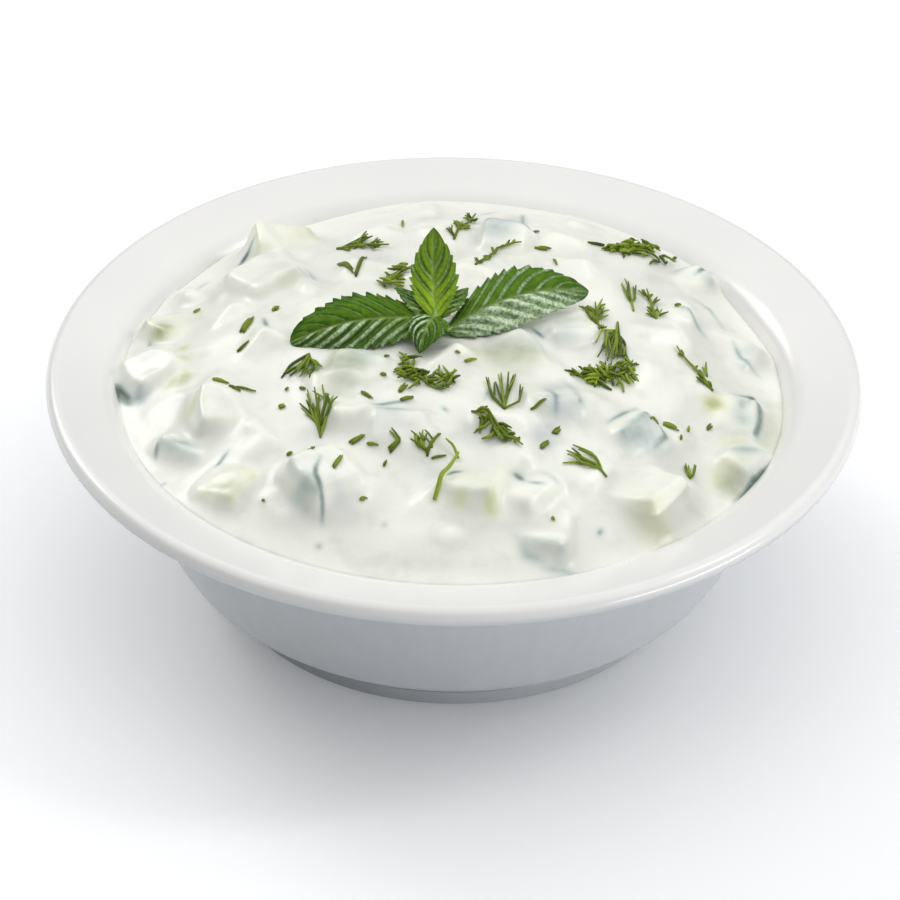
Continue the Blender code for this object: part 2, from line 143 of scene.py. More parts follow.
# Soft lumps over pieces that lie deep: (bearing, reach, height, radius).
LUMPS = (
    (100, 52 * MM, 1.0 * MM, 8 * MM),
    (62, 50 * MM, 1.2 * MM, 8 * MM),
    (33, 38 * MM, 1.2 * MM, 9 * MM),
    (15, 46 * MM, 1.0 * MM, 8 * MM),
    (-8, 42 * MM, 1.2 * MM, 8 * MM),
    (175, 42 * MM, 1.3 * MM, 9 * MM),
    (190, 26 * MM, 0.9 * MM, 8 * MM),
    (160, 36 * MM, 1.0 * MM, 8 * MM),
    (-98, 60 * MM, 0.9 * MM, 6 * MM),
    (-62, 35 * MM, 1.0 * MM, 8 * MM),
    (-90, 24 * MM, 0.8 * MM, 7 * MM),
)
LUMP_FALL = 0.7
HIDDEN_COUNT = 46
HIDDEN_REACH = 60 * MM
HIDDEN_TURN = 137.5  # degrees from one hidden piece to the next, so that they never line up
COAT_THICK = 0.15 * MM
COAT_VARIES = 0.35 * MM
COAT_CREASE = 0.3 * MM
DEEP_SOFTNESS = 0.9 * MM
# Yogurt that gathers in hollows: radius of the hollow and how far below its brim it stays, in mm.
FILLS = ((7.0, 0.8), (4.0, 0.45), (2.0, 0.2), (1.0, 0.08))
FILL_CREASE = 0.1 * MM
EDGE_OVERLAP = 0.5 * MM  # the yogurt runs this far into the wall, so that no gap shows
EDGE_DIP = 0.8 * MM  # it dips by this much there
EDGE_BEND = 0.5 * MM  # and starts to dip this far in front of the wall
WALL_FADE = 5 * MM  # lumps and ripples die out over this width along the wall
GAP = 0.3 * MM  # between the yogurt and the bowl, out of sight
SECTORS = 6  # ring by ring, the dip's top gains this many points
# Rings of the yogurt's hidden side: heights on the wall, then (radius, height) over the floor.
SIDE_HEIGHTS = (38 * MM, 28 * MM, 18 * MM)
FLOOR_RINGS = ((FLOOR_RADIUS + 5 * MM, FLOOR_HEIGHT + 1.6 * MM), (20 * MM, FLOOR_HEIGHT + GAP))

# Cucumber. Each piece: length from the cut heart to the skin, width, height, the bearing of
# its skin, pitch, roll, the yogurt's thickness over its cuts and over its skin, in mm, and
# how strongly its flesh and its skin show through.
CUCUMBER_RADIUS = 21 * MM
HEART_TAPER = 0.86
SKIN_FACETS = (-1, 0, 1)
FACET_TURN = 0.66
CUT_ROUND = 0.8 * MM
CUT_GRAIN = 1.6 * MM  # longer edges are divided
CUT_WAVE = 0.05 * MM
RIND_CLEAR = 0.2 * MM
RIND_THICK = 1.6 * MM
CUCUMBER = {
    "back": (9, 9, 8, 82, -8, 6, 0.6, 0.6, 0.1, 0.8),
    "back_left": (12, 9, 8, 12, 13, 8, 0.5, 0.8, 0.8, 0.2),
    "left_back": (12, 11, 9, 124, 12, -10, 0.9, 0.7, 0.25, 0.3),
    "left_wall": (8, 9, 7, 128, 8, 10, 0.6, 0.5, 0.6, 0.4),
    "left_rim": (9, 10, 7, 210, 18, 6, 0.8, 0.3, 0.1, 0.3),
    "left_front": (9, 10, 8, 186, -8, -6, 0.9, 0.6, 0.35, 0.35),
    "front_left_rim": (6, 9, 7, 232, -24, 0, 0.9, 0.5, 0.1, 0.4),
    "front_left_flesh": (9, 9, 7, 140, 14, -12, 0.4, 0.8, 0.7, 0.1),
    "front_left": (10, 10, 10, 214, 2, -6, 0.8, 0.5, 0.1, 0.4),
    "slab": (8, 9, 9, 110, 14, 6, 0.6, 0.6, 0.15, 0.3),
    "under_leaf": (8, 10, 8, 75, -4, 4, 0.8, 0.8, 0.4, 0.4),
    "ridge": (7, 9, 8, 82, -18, 4, 0.8, 0.5, 0.1, 0.6),
    "seeds": (10, 11, 8, 250, -10, 6, 0.6, 0.8, 0.5, 0.2),
    "front_line": (8, 8, 8, 55, -8, -8, 0.9, 0.4, 0.1, 0.6),
    "front_rim": (6, 9, 7, 244, -20, 6, 0.8, 0.5, 0.1, 0.4),
    "middle": (8, 9, 8, 20, 8, -12, 0.7, 0.4, 0.1, 0.7),
    "cube": (9, 8, 8, 318, -38, 5, 0.8, 0.5, 0.1, 0.65),
    "front_block": (11, 13, 10, 150, 10, 6, 0.8, 0.7, 0.25, 0.2),
    "right_rim": (6, 10, 7, 330, 12, -12, 0.7, 0.7, 0.4, 0.12),
    "right": (8, 10, 9, 354, 10, 8, 0.6, 0.2, 0.3, 0.9),
    "right_wall": (7, 8, 6, 225, 8, 6, 0.7, 0.4, 0.1, 0.5),
    "back_right": (6, 7, 5, 130, -6, 0, 0.6, 0.3, 0.1, 0.8),
    "beside_mint": (8, 10, 8, 30, -8, 8, 0.8, 0.6, 0.4, 0.3),
    "right_leaf": (8, 9, 8, 300, -12, -6, 0.8, 0.6, 0.3, 0.2),
}

# What shows through the yogurt beyond the pieces' own cuts: the kind, its strength, the
# half width, then the points of the line it runs along (or the one place), all in mm.
# Some shade and flesh lines below are painted shade and shadow, as marked.
SHOWING = (
    ("skin", 0.80, 0.7, (-45.5, 35.5), (-44, 38.5), (-42.5, 41)),
    ("skin", 0.35, 0.5, (-54, 28), (-53, 33), (-51.5, 35)),
    ("skin", 0.35, 0.5, (-49, 34), (-46, 33.5)),
    ("flesh", 0.75, 1.6, (-41, 56), (-36, 52)),
    ("flesh", 0.30, 2.0, (-33, 50), (-29, 42)),
    ("flesh", 0.90, 3.0, (-62, 11.5), (-57.5, 11)),
    # Painted shade over this patch beside the left wall, which the window light lights strongly.
    ("shade", 0.80, 3.0, (-62, 12), (-57.5, 11.5)),
    ("flesh", 0.65, 1.8, (-55.5, 0.5), (-54, -2.5)),
    ("shade", 0.60, 2.2, (-65, -8.5), (-60.5, -10.5)),
    # Painted shade over the left-rim piece's top, which the window light lights strongly.
    ("shade", 0.45, 3.0, (-64, 2), (-60, 0)),
    ("skin", 0.85, 1.0, (-69, -2.5), (-66.5, -8), (-64.5, -11)),
    ("skin", 0.35, 1.6, (-65, -9), (-61.5, -11.5)),
    ("skin", 0.40, 0.4, (-60, 22.5), (-57, 20.5)),
    ("skin", 0.60, 0.35, (-62.5, 11), (-62, 8)),
    ("flesh", 0.75, 1.4, (-55, 4)),
    ("flesh", 0.85, 2.2, (-58, -9), (-52.5, -7.5)),
    ("shade", 0.60, 2.6, (-58, -9), (-52.5, -8)),
    ("flesh", 0.35, 2.5, (-33.5, 20)),
    ("flesh", 0.50, 2.2, (-52.5, -17.5), (-51, -23)),
    ("skin", 0.30, 1.6, (-57, -28.5), (-50, -31)),
    ("skin", 0.60, 0.4, (-58.5, -27), (-58.5, -31)),
    ("skin", 0.70, 0.45, (-44, -33), (-46.5, -37)),
    ("skin", 0.28, 2.8, (-28.5, -47.5), (-28, -51.5)),
    ("skin", 0.75, 0.45, (-25.5, -42.5), (-26.5, -46), (-26.5, -48), (-25, -52), (-25, -55)),
    ("skin", 0.45, 0.6, (-25.5, -59)),
    ("shade", 0.50, 2.4, (-22, -50)),
    ("flesh", 0.70, 2.6, (-45, -43), (-42, -44.5)),
    # Painted shade over this olive patch, which the window light lights strongly.
    ("shade", 0.60, 3.2, (-45.5, -43.5), (-41.5, -45)),
    ("flesh", 0.50, 1.0, (-40.5, -40)),
    ("skin", 0.75, 0.4, (-16, -27), (-12.5, -26), (-8.5, -25)),
    ("shade", 0.60, 2.0, (-14, -30), (-10, -29)),
    ("skin", 0.55, 0.35, (-2.5, -26), (-1, -28)),
    ("skin", 0.75, 0.4, (-1.5, -46), (0, -44.5), (2, -44)),
    ("shade", 0.50, 1.8, (-4, -44)),
    ("flesh", 0.60, 2.0, (0, -51), (3, -52)),
    ("flesh", 0.70, 2.3, (6, -52.5), (9, -53)),
    ("skin", 0.70, 0.5, (11.5, -44.5), (14, -46.5)),
    ("skin", 0.45, 0.5, (14, -46.5), (18, -48)),
    ("skin", 0.30, 1.3, (13, -59), (14.5, -61.5), (18, -63)),
    ("skin", 0.30, 0.8, (17, -64), (24, -64.5)),
    ("skin", 0.55, 0.5, (18.5, -20.5), (20, -24), (20, -28)),
    ("shade", 0.70, 2.8, (18, -23), (22, -18)),
    ("skin", 0.35, 0.5, (6, -25), (6.5, -21.5), (7.5, -20)),
    ("skin", 0.65, 0.4, (30, -27), (33, -23.5), (36.5, -18.5)),
    ("skin", 0.22, 2.0, (38, -23), (38.5, -28)),
    ("skin", 0.65, 0.4, (39, -21), (42, -26), (39, -31)),
    ("skin", 0.95, 0.4, (65.5, -21), (60.5, -30), (55, -36.5)),
    ("skin", 0.30, 2.0, (61.5, -22.5), (54, -25)),
    # The next three are partly flesh showing through and partly painted shadow in the gap by the right
    # wall.
    ("flesh", 0.60, 4.0, (51, -29.5), (57, -34)),
    ("flesh", 0.65, 2.2, (53.5, -32), (57, -34.5)),
    ("shade", 0.75, 3.0, (53, -31), (57, -34.5)),
    ("skin", 0.75, 0.45, (56, -4), (60.5, -2), (60, -6.5), (59, -10)),
    ("skin", 0.30, 1.3, (58, -7), (57.5, -13.5)),
    ("flesh", 1.00, 2.7, (50, -9.5), (54, -12)),
    ("skin", 0.26, 2.2, (56.5, -11.5), (58.5, -17)),
    ("flesh", 0.45, 2.4, (53, -19.5), (57, -22)),
    ("flesh", 0.30, 2.2, (64, -3), (64, -13), (62, -22)),
    ("shade", 0.25, 2.2, (64, -3), (64, -13), (62, -22)),
    ("skin", 0.55, 0.5, (28, -55), (29, -53)),
    ("skin", 0.70, 0.5, (50, 38.5), (52.5, 41.5), (55, 44)),
    ("skin", 0.25, 1.6, (53, 38)),
    ("skin", 0.55, 0.4, (57, 15.5), (58.5, 9.5), (62.5, 6)),
    ("shade", 0.60, 2.6, (60.5, 12)),
    ("skin", 0.50, 0.6, (4.5, 56), (9, 58), (14, 60)),
    ("skin", 0.45, 0.5, (14, 58.5), (14, 46)),
    ("shade", 0.95, 4.5, (7, 51), (11, 48)),
    ("skin", 0.65, 0.5, (15, 2), (17, -1.5), (18, -3)),
    # The next two are partly flesh showing through and partly the right leaf's painted shadow.
    ("flesh", 0.60, 4.5, (4, -9), (18, -10)),
    ("shade", 0.90, 4.5, (5, -8), (18, -8.5)),
    ("shade", 0.50, 4.0, (18, 0), (24, -4)),
    ("shade", 0.50, 2.6, (20.5, 2)),
    ("flesh", 0.35, 3.0, (28, 3.5)),
    # The next two are partly flesh showing through and partly the left leaf's painted shadow.
    ("flesh", 0.60, 4.2, (-26, -14), (-17, -13.5)),
    ("shade", 0.95, 4.4, (-26, -14.5), (-17, -14)),
    ("flesh", 0.30, 4.5, (-27, -21), (-19, -18)),
    ("shade", 0.40, 5.0, (-27, -20.5), (-18, -19)),
    ("skin", 0.22, 2.6, (-22, -11.5), (-15, -10.5)),
    ("skin", 0.45, 0.35, (49.5, 31.5), (53, 29), (56, 20.5)),
    ("skin", 0.60, 0.35, (45, 18), (48.5, 18), (51.5, 14)),
    ("skin", 0.25, 0.6, (-3.5, -2.5), (-3, -7), (0, -10)),
    ("skin", 0.45, 0.5, (-13, -55.5)),
    ("skin", 0.70, 0.4, (-56.5, -37.5)),
    ("skin", 0.60, 0.45, (-39, 8), (-37.5, 0.5)),
    ("skin", 0.50, 0.3, (-31.5, 27.5), (-30, 24.5), (-28.5, 20.5)),
    ("flesh", 0.45, 4.2, (35, -51), (43, -52)),
    ("shade", 0.35, 3.0, (30, -8), (38, -4)),
    ("shade", 0.80, 4.0, (17, -25), (24, -27)),
    ("shade", 0.75, 3.5, (15, -32.5), (21, -33.5)),
    ("shade", 0.55, 3.0, (35, -28), (38, -31)),
    ("shade", 0.40, 4.5, (-13.5, -27), (-14, -36)),
    ("shade", 0.35, 5.0, (-38, 25), (-28, 18)),
    ("shade", 0.30, 5.0, (-12, 29), (-21, 35)),
    ("shade", 0.45, 4.5, (5, 37), (11, 36)),
    ("skin", 0.25, 4.2, (5, 41), (12, 38)),
    ("shade", 0.40, 3.0, (0, -34), (8, -33)),
    ("shade", 0.40, 3.5, (-24, -34), (-30, -30)),
)

# Folds of the yogurt: height, half width, and the points of the line it runs along, in mm.
FOLDS = (
    (0.9, 1.6, (-42, 46), (-36.5, 35), (-31.5, 25), (-30, 15)),
    (0.6, 1.6, (-42, 46), (-46, 33), (-49, 20)),
    (0.7, 1.4, (-62, 3), (-54, -3)),
    (0.8, 1.6, (-56, -12.5), (-45.5, -18), (-39, -30)),
    (0.6, 1.4, (-31.5, -41.5), (-25.5, -43)),
    (0.6, 1.0, (-23.5, -17), (-19.5, -17), (-18, -24), (-17, -31.5)),
    (0.7, 1.2, (-9.5, -32), (-7.5, -30), (-5, -29), (-1.5, -30)),
    (0.8, 1.0, (46.5, -33.5), (45.5, -41), (42, -50.5)),
    (0.4, 1.4, (28.5, -40.5), (36.5, -37), (46.5, -33.5)),
    (0.9, 2.4, (-3, -58.5), (2, -58.5)),
    (0.8, 2.6, (-30, 19)),
)

# Mint, as set in the part's source.
HUB = Vector((-4.0, -1.6, 62.2)) * MM
HUB_RADIUS = 1.5 * MM
STEM_RADIUS = 1.1 * MM
STEM_FOOT = Vector((-2.0, 3.0, 47.0)) * MM
LEAF_FULLNESS = 0.85
LEAF_FULL_WIDTH = 12.4
LEAF_FOOT = 0.3 * MM
LEAF_THICK = 0.3 * MM
LEAF_PUFF = 1.0 * MM
TEETH_PER_VEIN = 1.7
TOOTH_DEPTH = 0.17
PETIOLE_RADIUS = 0.65 * MM
PETIOLE_REACH = 0.1
# Each leaf: its foot and tip relative to the hub, width, rise of the midrib's bow and its
# sway to one side, twist, cupping, where each half is broadest (below 1 is near the foot),
# how blunt the tip is, and the number of veins. Sizes in mm, the twist in degrees.
LEAVES = {
    "left": ((-0.6, 0, -0.4), (-29.0, -2.2, -5.0), 12.4, 3.2, 1.1, -34, 0.9, (1.1, 0.85), 0.35, 8),
    "right": ((2.4, -1.4, -2.0), (31.0, 12.6, -1.4), 12.4, 2.6, -2.2, 30, 0.9, (0.75, 1.1), 0.2, 8),
    "back": ((0, 0, 0.2), (-0.6, 9.4, 15.4), 9.4, -1.6, 0, 4, -0.8, (0.8, 0.8), 0, 5),
    "front": ((0, 0, 0.4), (-3.0, -9.0, -2.4), 7.8, 2.0, 0, 0, 0.8, (0.72, 0.72), 0, 4),
    "inner_left": ((-1.0, 1.0, -0.8), (-8.2, 7.0, 2.7), 7.0, 0.8, 0, 20, 0.4, (0.8, 0.8), 0, 5),
    "inner_right": ((1.0, 1.0, -0.8), (6.4, 5.8, 3.6), 6.5, 0.8, 0, -20, 0.4, (0.8, 0.8), 0, 4),
}

# Chopped dill: the kind, its spread, its number of threads, and the places it runs through
# from its foot, in mm. A frond has side branches, a fan opens from its foot, a clump is a
# heap of short threads, a bit is a few threads side by side and a stalk is one thick stem.
DILL = (
    ("frond", 4.0, 3, (-25, 38), (-14, 36)),
    ("fan", 2.5, 3, (-21.5, 36.5), (-17.5, 40.5)),
    ("bit", 0.8, 3, (-24.5, 28.5), (-20.5, 22)),
    ("bit", 0.6, 2, (-20.5, 22.5), (-18.5, 32)),
    ("bit", 0.4, 1, (-11.5, 51), (-11, 46)),
    ("frond", 3.5, 7, (-0.5, 38), (4, 55)),
    ("frond", 1.8, 7, (4, 23), (8.5, 31.5), (13.5, 33.5)),
    ("bit", 0.9, 4, (16.5, 35), (20, 35)),
    ("bit", 0.3, 1, (16, 42), (18, 45)),
    ("bit", 0.3, 1, (20, 30), (21, 26)),
    ("clump", 8.0, 60, (32, 41.5), (43.5, 46)),
    ("frond", 6.0, 5, (31, 41), (43, 46)),
    ("frond", 3.5, 5, (41, 13), (39.5, 26)),
    ("fan", 3.5, 4, (36.5, 14), (35, 29)),
    ("frond", 6.0, 5, (29, 1), (28.5, 14)),
    ("fan", 8.0, 12, (33, 9), (31.5, -10)),
    ("frond", 4.5, 5, (23, -13.5), (36, -10.5)),
    ("clump", 5.5, 60, (24.5, -12.5), (35, -10.5)),
    ("frond", 2.2, 6, (52, -7), (45, 4.5)),
    ("fan", 1.5, 3, (51, -2.5), (50.5, 3)),
    ("fan", 9.0, 11, (-29, -8), (-31, -17)),
    ("fan", 8.0, 10, (-26, -33.5), (-27, -20.5)),
    ("bit", 0.7, 3, (-11, -23.5), (-9.5, -19.5)),
    ("bit", 0.4, 2, (-11, -25.5), (-8, -23.5)),
    ("bit", 0.5, 2, (-18.5, -22.5), (-16.5, -25)),
    ("clump", 4.5, 60, (-10.5, -12), (-7, -18), (0, -17.5)),
    ("frond", 3.0, 5, (-9, -15.5), (-2, -21.5)),
    ("fan", 8.5, 7, (10, -30), (9.5, -14)),
    ("frond", 3.0, 6, (3.5, -28.5), (13.5, -38.5)),
    ("clump", 2.4, 18, (4.5, -30.5), (11, -36.5)),
    ("bit", 0.9, 4, (-20, -36), (-17.5, -34.5)),
    ("bit", 0.4, 2, (-17, -36.5), (-14.5, -37.5)),
    ("bit", 0.7, 3, (-12.5, -38.5), (-10.5, -37), (-12, -34)),
    ("fan", 7.5, 8, (-5, -41), (-5.5, -34.5)),
    ("stalk", 0.6, 1, (-3.5, -52), (-2, -48), (1, -40.5)),
    ("stalk", 0.4, 1, (1, -40.5), (0, -38), (-1.5, -37)),
    ("bit", 0.3, 1, (-4, -40.5), (0, -39)),
    ("fan", 6.5, 6, (30, -42), (21.5, -38)),
    ("bit", 0.5, 2, (39, -25.5), (40.5, -23)),
    ("bit", 0.9, 3, (41.5, -21.5), (44.5, -22)),
    ("bit", 0.4, 1, (46.5, -21), (47, -19)),
    ("bit", 0.4, 1, (45, -25), (45.5, -23.5)),
    ("bit", 0.5, 2, (50.5, -18), (51.5, -16.5)),
    ("fan", 3.2, 3, (46.5, -36), (46.5, -28.5)),
    ("bit", 0.9, 4, (19.5, -32.5), (21, -30)),
    ("bit", 0.9, 4, (17, -36.5), (19, -34.5)),
    ("bit", 0.4, 2, (15, -27), (19, -26)),
    ("bit", 0.35, 1, (-45, -16.5), (-37.5, -17)),
    ("bit", 0.35, 1, (-45, -16.5), (-42.5, -18)),
    ("bit", 0.6, 3, (-48, -14.5), (-45, -15)),
    ("bit", 1.0, 5, (-43, 3), (-41, 9)),
    ("bit", 1.0, 4, (-37, 10), (-36, 11.5)),
    ("bit", 0.5, 2, (-54, 19), (-52.5, 19.5)),
    ("bit", 0.5, 2, (-32.5, -37), (-31.5, -36.5)),
    ("bit", 0.6, 3, (-34.5, -23), (-33.5, -22.5)),
    ("bit", 0.3, 1, (-37, -48), (-36, -48)),
    ("bit", 0.5, 2, (-43.5, -3.5), (-41.5, -2)),
    ("bit", 0.5, 2, (-28, -37), (-27, -41)),
    ("bit", 0.6, 3, (-23, -46), (-21.5, -43)),
    ("bit", 0.5, 2, (-18, -50.5), (-16.5, -50.5)),
    ("bit", 0.4, 2, (19, -53.5), (20, -54.5)),
    ("bit", 0.4, 1, (-13.5, -42), (-13, -40.5)),
    ("clump", 5.0, 30, (-14.5, 17), (-9.5, 23)),
    ("bit", 0.4, 2, (1.5, -13), (4.5, -11.5)),
    ("bit", 0.4, 1, (0, -11), (1.5, -11.5)),
    ("bit", 0.4, 1, (-14, -11.5), (-13, -11)),
    ("bit", 0.4, 2, (-14.5, -17), (-13.5, -16.5)),
    ("bit", 0.4, 1, (-33.5, -18), (-32.5, -17.5)),
    ("bit", 0.4, 2, (-30.5, -18.5), (-29.5, -19.5)),
    ("bit", 0.35, 1, (45, 18.5), (46.5, 18.5)),
)
THREAD_RADIUS = 0.31 * MM
THREAD_STEP = 0.8 * MM

# Stage.
CAMERA_PITCH = math.radians(35.155)
CAMERA_ROLL = math.radians(0.904)
CAMERA_PLACE = Vector((-0.64, -753.7, 559.5)) * MM
CAMERA_LENS = 180
SENSOR_WIDTH = 36
# Soft lights: name, place, aim, width, height, the setting that holds its power, and colour.
LIGHTS = (
    ("overhead", (0, 0.4, 1.1), (0, 0.4, 0), 2.6, 2.5, "key_energy", (1, 1, 0.99)),
    ("window", (-0.75, 0.75, 0.75), (0, 0, 0.04), 0.5, 0.45, "window_energy", (1, 1, 0.98)),
    ("low_strip", (1.04, -0.6, 0.024), (0, 0, 0.024), 0.9, 0.04, "low_energy", (1, 1, 1)),
    ("side_strip", (0.8, 0.0, 0.85), (0, 0, 0.04), 0.16, 0.5, "strip_energy", (1, 1, 1)),
)


# ---------------------------------------------------------------- shared helpers


def smooth_table(table, places):
    """Smooth steps between the rows of a table of (place, amount), for an array of places."""
    rows = np.array(table, float)
    after = np.clip(np.searchsorted(rows[:, 0], places), 1, len(rows) - 1)
    low, high = rows[after - 1], rows[after]
    share = np.clip((places - low[..., 0]) / (high[..., 0] - low[..., 0]), 0, 1)
    return low[..., 1] + (high[..., 1] - low[..., 1]) * share**2 * (3 - 2 * share)


def smooth_step(low, high, values):
    """0 before low, 1 past high, and a smooth step between them."""
    share = np.clip((values - low) / (high - low), 0, 1)
    return share * share * (3 - 2 * share)


def bend(start, corner, end, steps):
    """Points of a quadratic curve that rounds a corner."""
    shares = np.linspace(0, 1, steps + 1)[:, None]
    start, corner, end = (np.array(point, float) for point in (start, corner, end))
    curve = start * (1 - shares) ** 2 + corner * 2 * shares * (1 - shares) + end * shares**2
    return [tuple(point) for point in curve]


def polar(bearing, reach):
    """The place at this bearing and reach from the axis."""
    angle = math.radians(bearing)
    return Vector((reach * math.cos(angle), reach * math.sin(angle), 0.0))


def remove_piece(name):
    """Clear what an earlier run has left."""
    old = bpy.data.objects.get(name)
    if old is not None:
        bpy.data.objects.remove(old, do_unlink=True)


def add_piece(name, mesh, material, replaces=()):
    """A shown piece that rides on the part and stands for some of its nodes."""
    remove_piece(name)
    if not mesh.polygons:
        raise RuntimeError(f"{name} has no faces")
    mesh.materials.append(material)
    piece = bpy.data.objects.new(name, mesh)
    bpy.context.scene.collection.objects.link(piece)
    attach(piece, "root")
    if replaces:
        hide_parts(*replaces)


class MeshMaker:
    """Collects points, faces and per-point numbers, and makes a smooth mesh of them."""

    def __init__(self):
        self.points = []
        self.faces = []
        self.marks = {}

    def add(self, points, faces, **marks):
        """Take in points, faces that count from the first of them, and numbers for each."""
        start = len(self.points)
        self.points.extend(tuple(point) for point in points)
        self.faces.extend(tuple(start + index for index in face) for face in faces)
        for name, values in marks.items():
            self.marks.setdefault(name, []).extend(values)

    def mesh(self, name, outwards=False):
        mesh = bpy.data.meshes.new(name)
        mesh.from_pydata(self.points, [], self.faces)
        for mark, values in self.marks.items():
            attribute = mesh.attributes.new(mark, "FLOAT", "POINT")
            attribute.data.foreach_set("value", np.array(values, np.float32))
        if outwards:
            bm = bmesh.new()
            bm.from_mesh(mesh)
            bmesh.ops.recalc_face_normals(bm, faces=bm.faces)
            bm.to_mesh(mesh)
            bm.free()
        mesh.shade_smooth()
        return mesh


def ring_faces(upper, lower, count):
    """Four-sided faces between two closed rings of points that start at these indices."""
    faces = []
    for step in range(count):
        after = (step + 1) % count
        faces.append((upper + step, upper + after, lower + after, lower + step))
    return faces


# ---------------------------------------------------------------- materials


class Value:
    """A number or colour that comes out of a node, for arithmetic in Python."""

    def __init__(self, paint, socket):
        self.paint = paint
        self.socket = socket

    def _math(self, operation, first, second):
        return self.paint.node("ShaderNodeMath", {"operation": operation}, {0: first, 1: second})

    def __add__(self, other):
        return self._math("ADD", self, other)

    def __radd__(self, other):
        return self._math("ADD", other, self)

    def __sub__(self, other):
        return self._math("SUBTRACT", self, other)

    def __rsub__(self, other):
        return self._math("SUBTRACT", other, self)

    def __mul__(self, other):
        return self._math("MULTIPLY", self, other)

    def __rmul__(self, other):
        return self._math("MULTIPLY", other, self)

    def clamp(self):
        return self.paint.node("ShaderNodeClamp", {}, {"Value": self})

    def smooth(self, low, high):
        """0 below low, 1 above high, and a smooth step between them."""
        settings = {"interpolation_type": "SMOOTHSTEP"}
        sockets = {"Value": self, "From Min": low, "From Max": high}
        return self.paint.node("ShaderNodeMapRange", settings, sockets)


class Paint:
    """One material: its nodes end in the Principled shader that every material has."""

    def __init__(self, name):
        old = bpy.data.materials.get(name)
        if old is not None:
            bpy.data.materials.remove(old)
        self.material = bpy.data.materials.new(name)
        self.material.use_nodes = True
        self.tree = self.material.node_tree
        self.shader = self.tree.nodes["Principled BSDF"]

    def connect(self, socket, value):
        """Link a Value to a socket, or set the socket to a plain number or colour."""
        if isinstance(value, Value):
            self.tree.links.new(value.socket, socket)
        elif socket.type == "RGBA":
            socket.default_value = (*tuple(value)[:3], 1.0)
        else:
            socket.default_value = value

    def node(self, kind, settings, sockets, output=0):
        """Any node: its settings first, then its sockets by name or index."""
        node = self.tree.nodes.new(kind)
        for name, value in settings.items():
            if name == "stops":
                self.set_stops(node.color_ramp, value)
            else:
                setattr(node, name, value)
        for name, value in sockets.items():
            self.connect(node.inputs[name], value)
        return Value(self, node.outputs[output])

    def set_stops(self, ramp, stops):
        """Give a colour ramp its stops: (position, colour)."""
        while len(ramp.elements) < len(stops):
            ramp.elements.new(1.0)
        for element, (position, colour) in zip(ramp.elements, stops):
            element.position = position
            element.color = (*colour, 1.0)

    def attribute(self, name):
        """One of the numbers that a mesh keeps at its points."""
        return self.node("ShaderNodeAttribute", {"attribute_name": name}, {}, output="Fac")

    def place(self, stretch=(1, 1, 1)):
        """Object coordinates in millimetres, stretched along each axis."""
        coordinates = self.node("ShaderNodeTexCoord", {}, {}, output="Object")
        factor = tuple(part / MM for part in stretch)
        settings = {"operation": "MULTIPLY"}
        return self.node("ShaderNodeVectorMath", settings, {0: coordinates, 1: factor})

    def noise(self, size, detail=2.0, roughness=0.5, stretch=(1, 1, 1)):
        """Soft noise about 0.5, with features of this size in millimetres."""
        sockets = {"Vector": self.place(stretch), "Scale": 1 / size}
        sockets.update({"Detail": detail, "Roughness": roughness})
        return self.node("ShaderNodeTexNoise", {}, sockets)

    def mix(self, factor, first, second, blend="MIX"):
        settings = {"data_type": "RGBA", "blend_type": blend}
        sockets = {0: factor, 6: first, 7: second}
        return self.node("ShaderNodeMix", settings, sockets, output=2)

    def ramp(self, factor, stops):
        return self.node("ShaderNodeValToRGB", {"stops": stops}, {"Fac": factor})

    def bump(self, height, depth):
        """A normal from a height between 0 and 1 that stands for this depth in millimetres."""
        sockets = {"Height": height, "Strength": 1.0, "Distance": depth * MM}
        return self.node("ShaderNodeBump", {}, sockets, output="Normal")

    def finish(self, **sockets):
        """Set the shader's sockets, whose names are written with underscores."""
        for name, value in sockets.items():
            self.connect(self.shader.inputs[name.replace("_", " ")], value)
        return self.material


def glaze_material(settings):
    """White porcelain glaze with painted shade below the lip, a darker cooler grey, and faint upright
    streaks from dipping.
    """
    paint = Paint("white_glaze")
    cloud = paint.noise(24, detail=1)
    streaks = paint.noise(3, detail=2, stretch=(1, 1, 0.1))
    tint = paint.mix(cloud, settings.glaze_colour, settings.glaze_shade)
    # Painted shade: below the lip the glaze turns a darker, cooler grey that stands in for the shade under
    # the rim.
    body = paint.mix(streaks.smooth(0.3, 0.7), settings.body_colour, settings.body_streak)
    tint = paint.mix(paint.attribute("under"), tint, body)
    return paint.finish(
        Base_Color=tint,
        Roughness=cloud * 0.05 + settings.roughness,
        Coat_Weight=0.1,
        Coat_Roughness=0.15,
    )


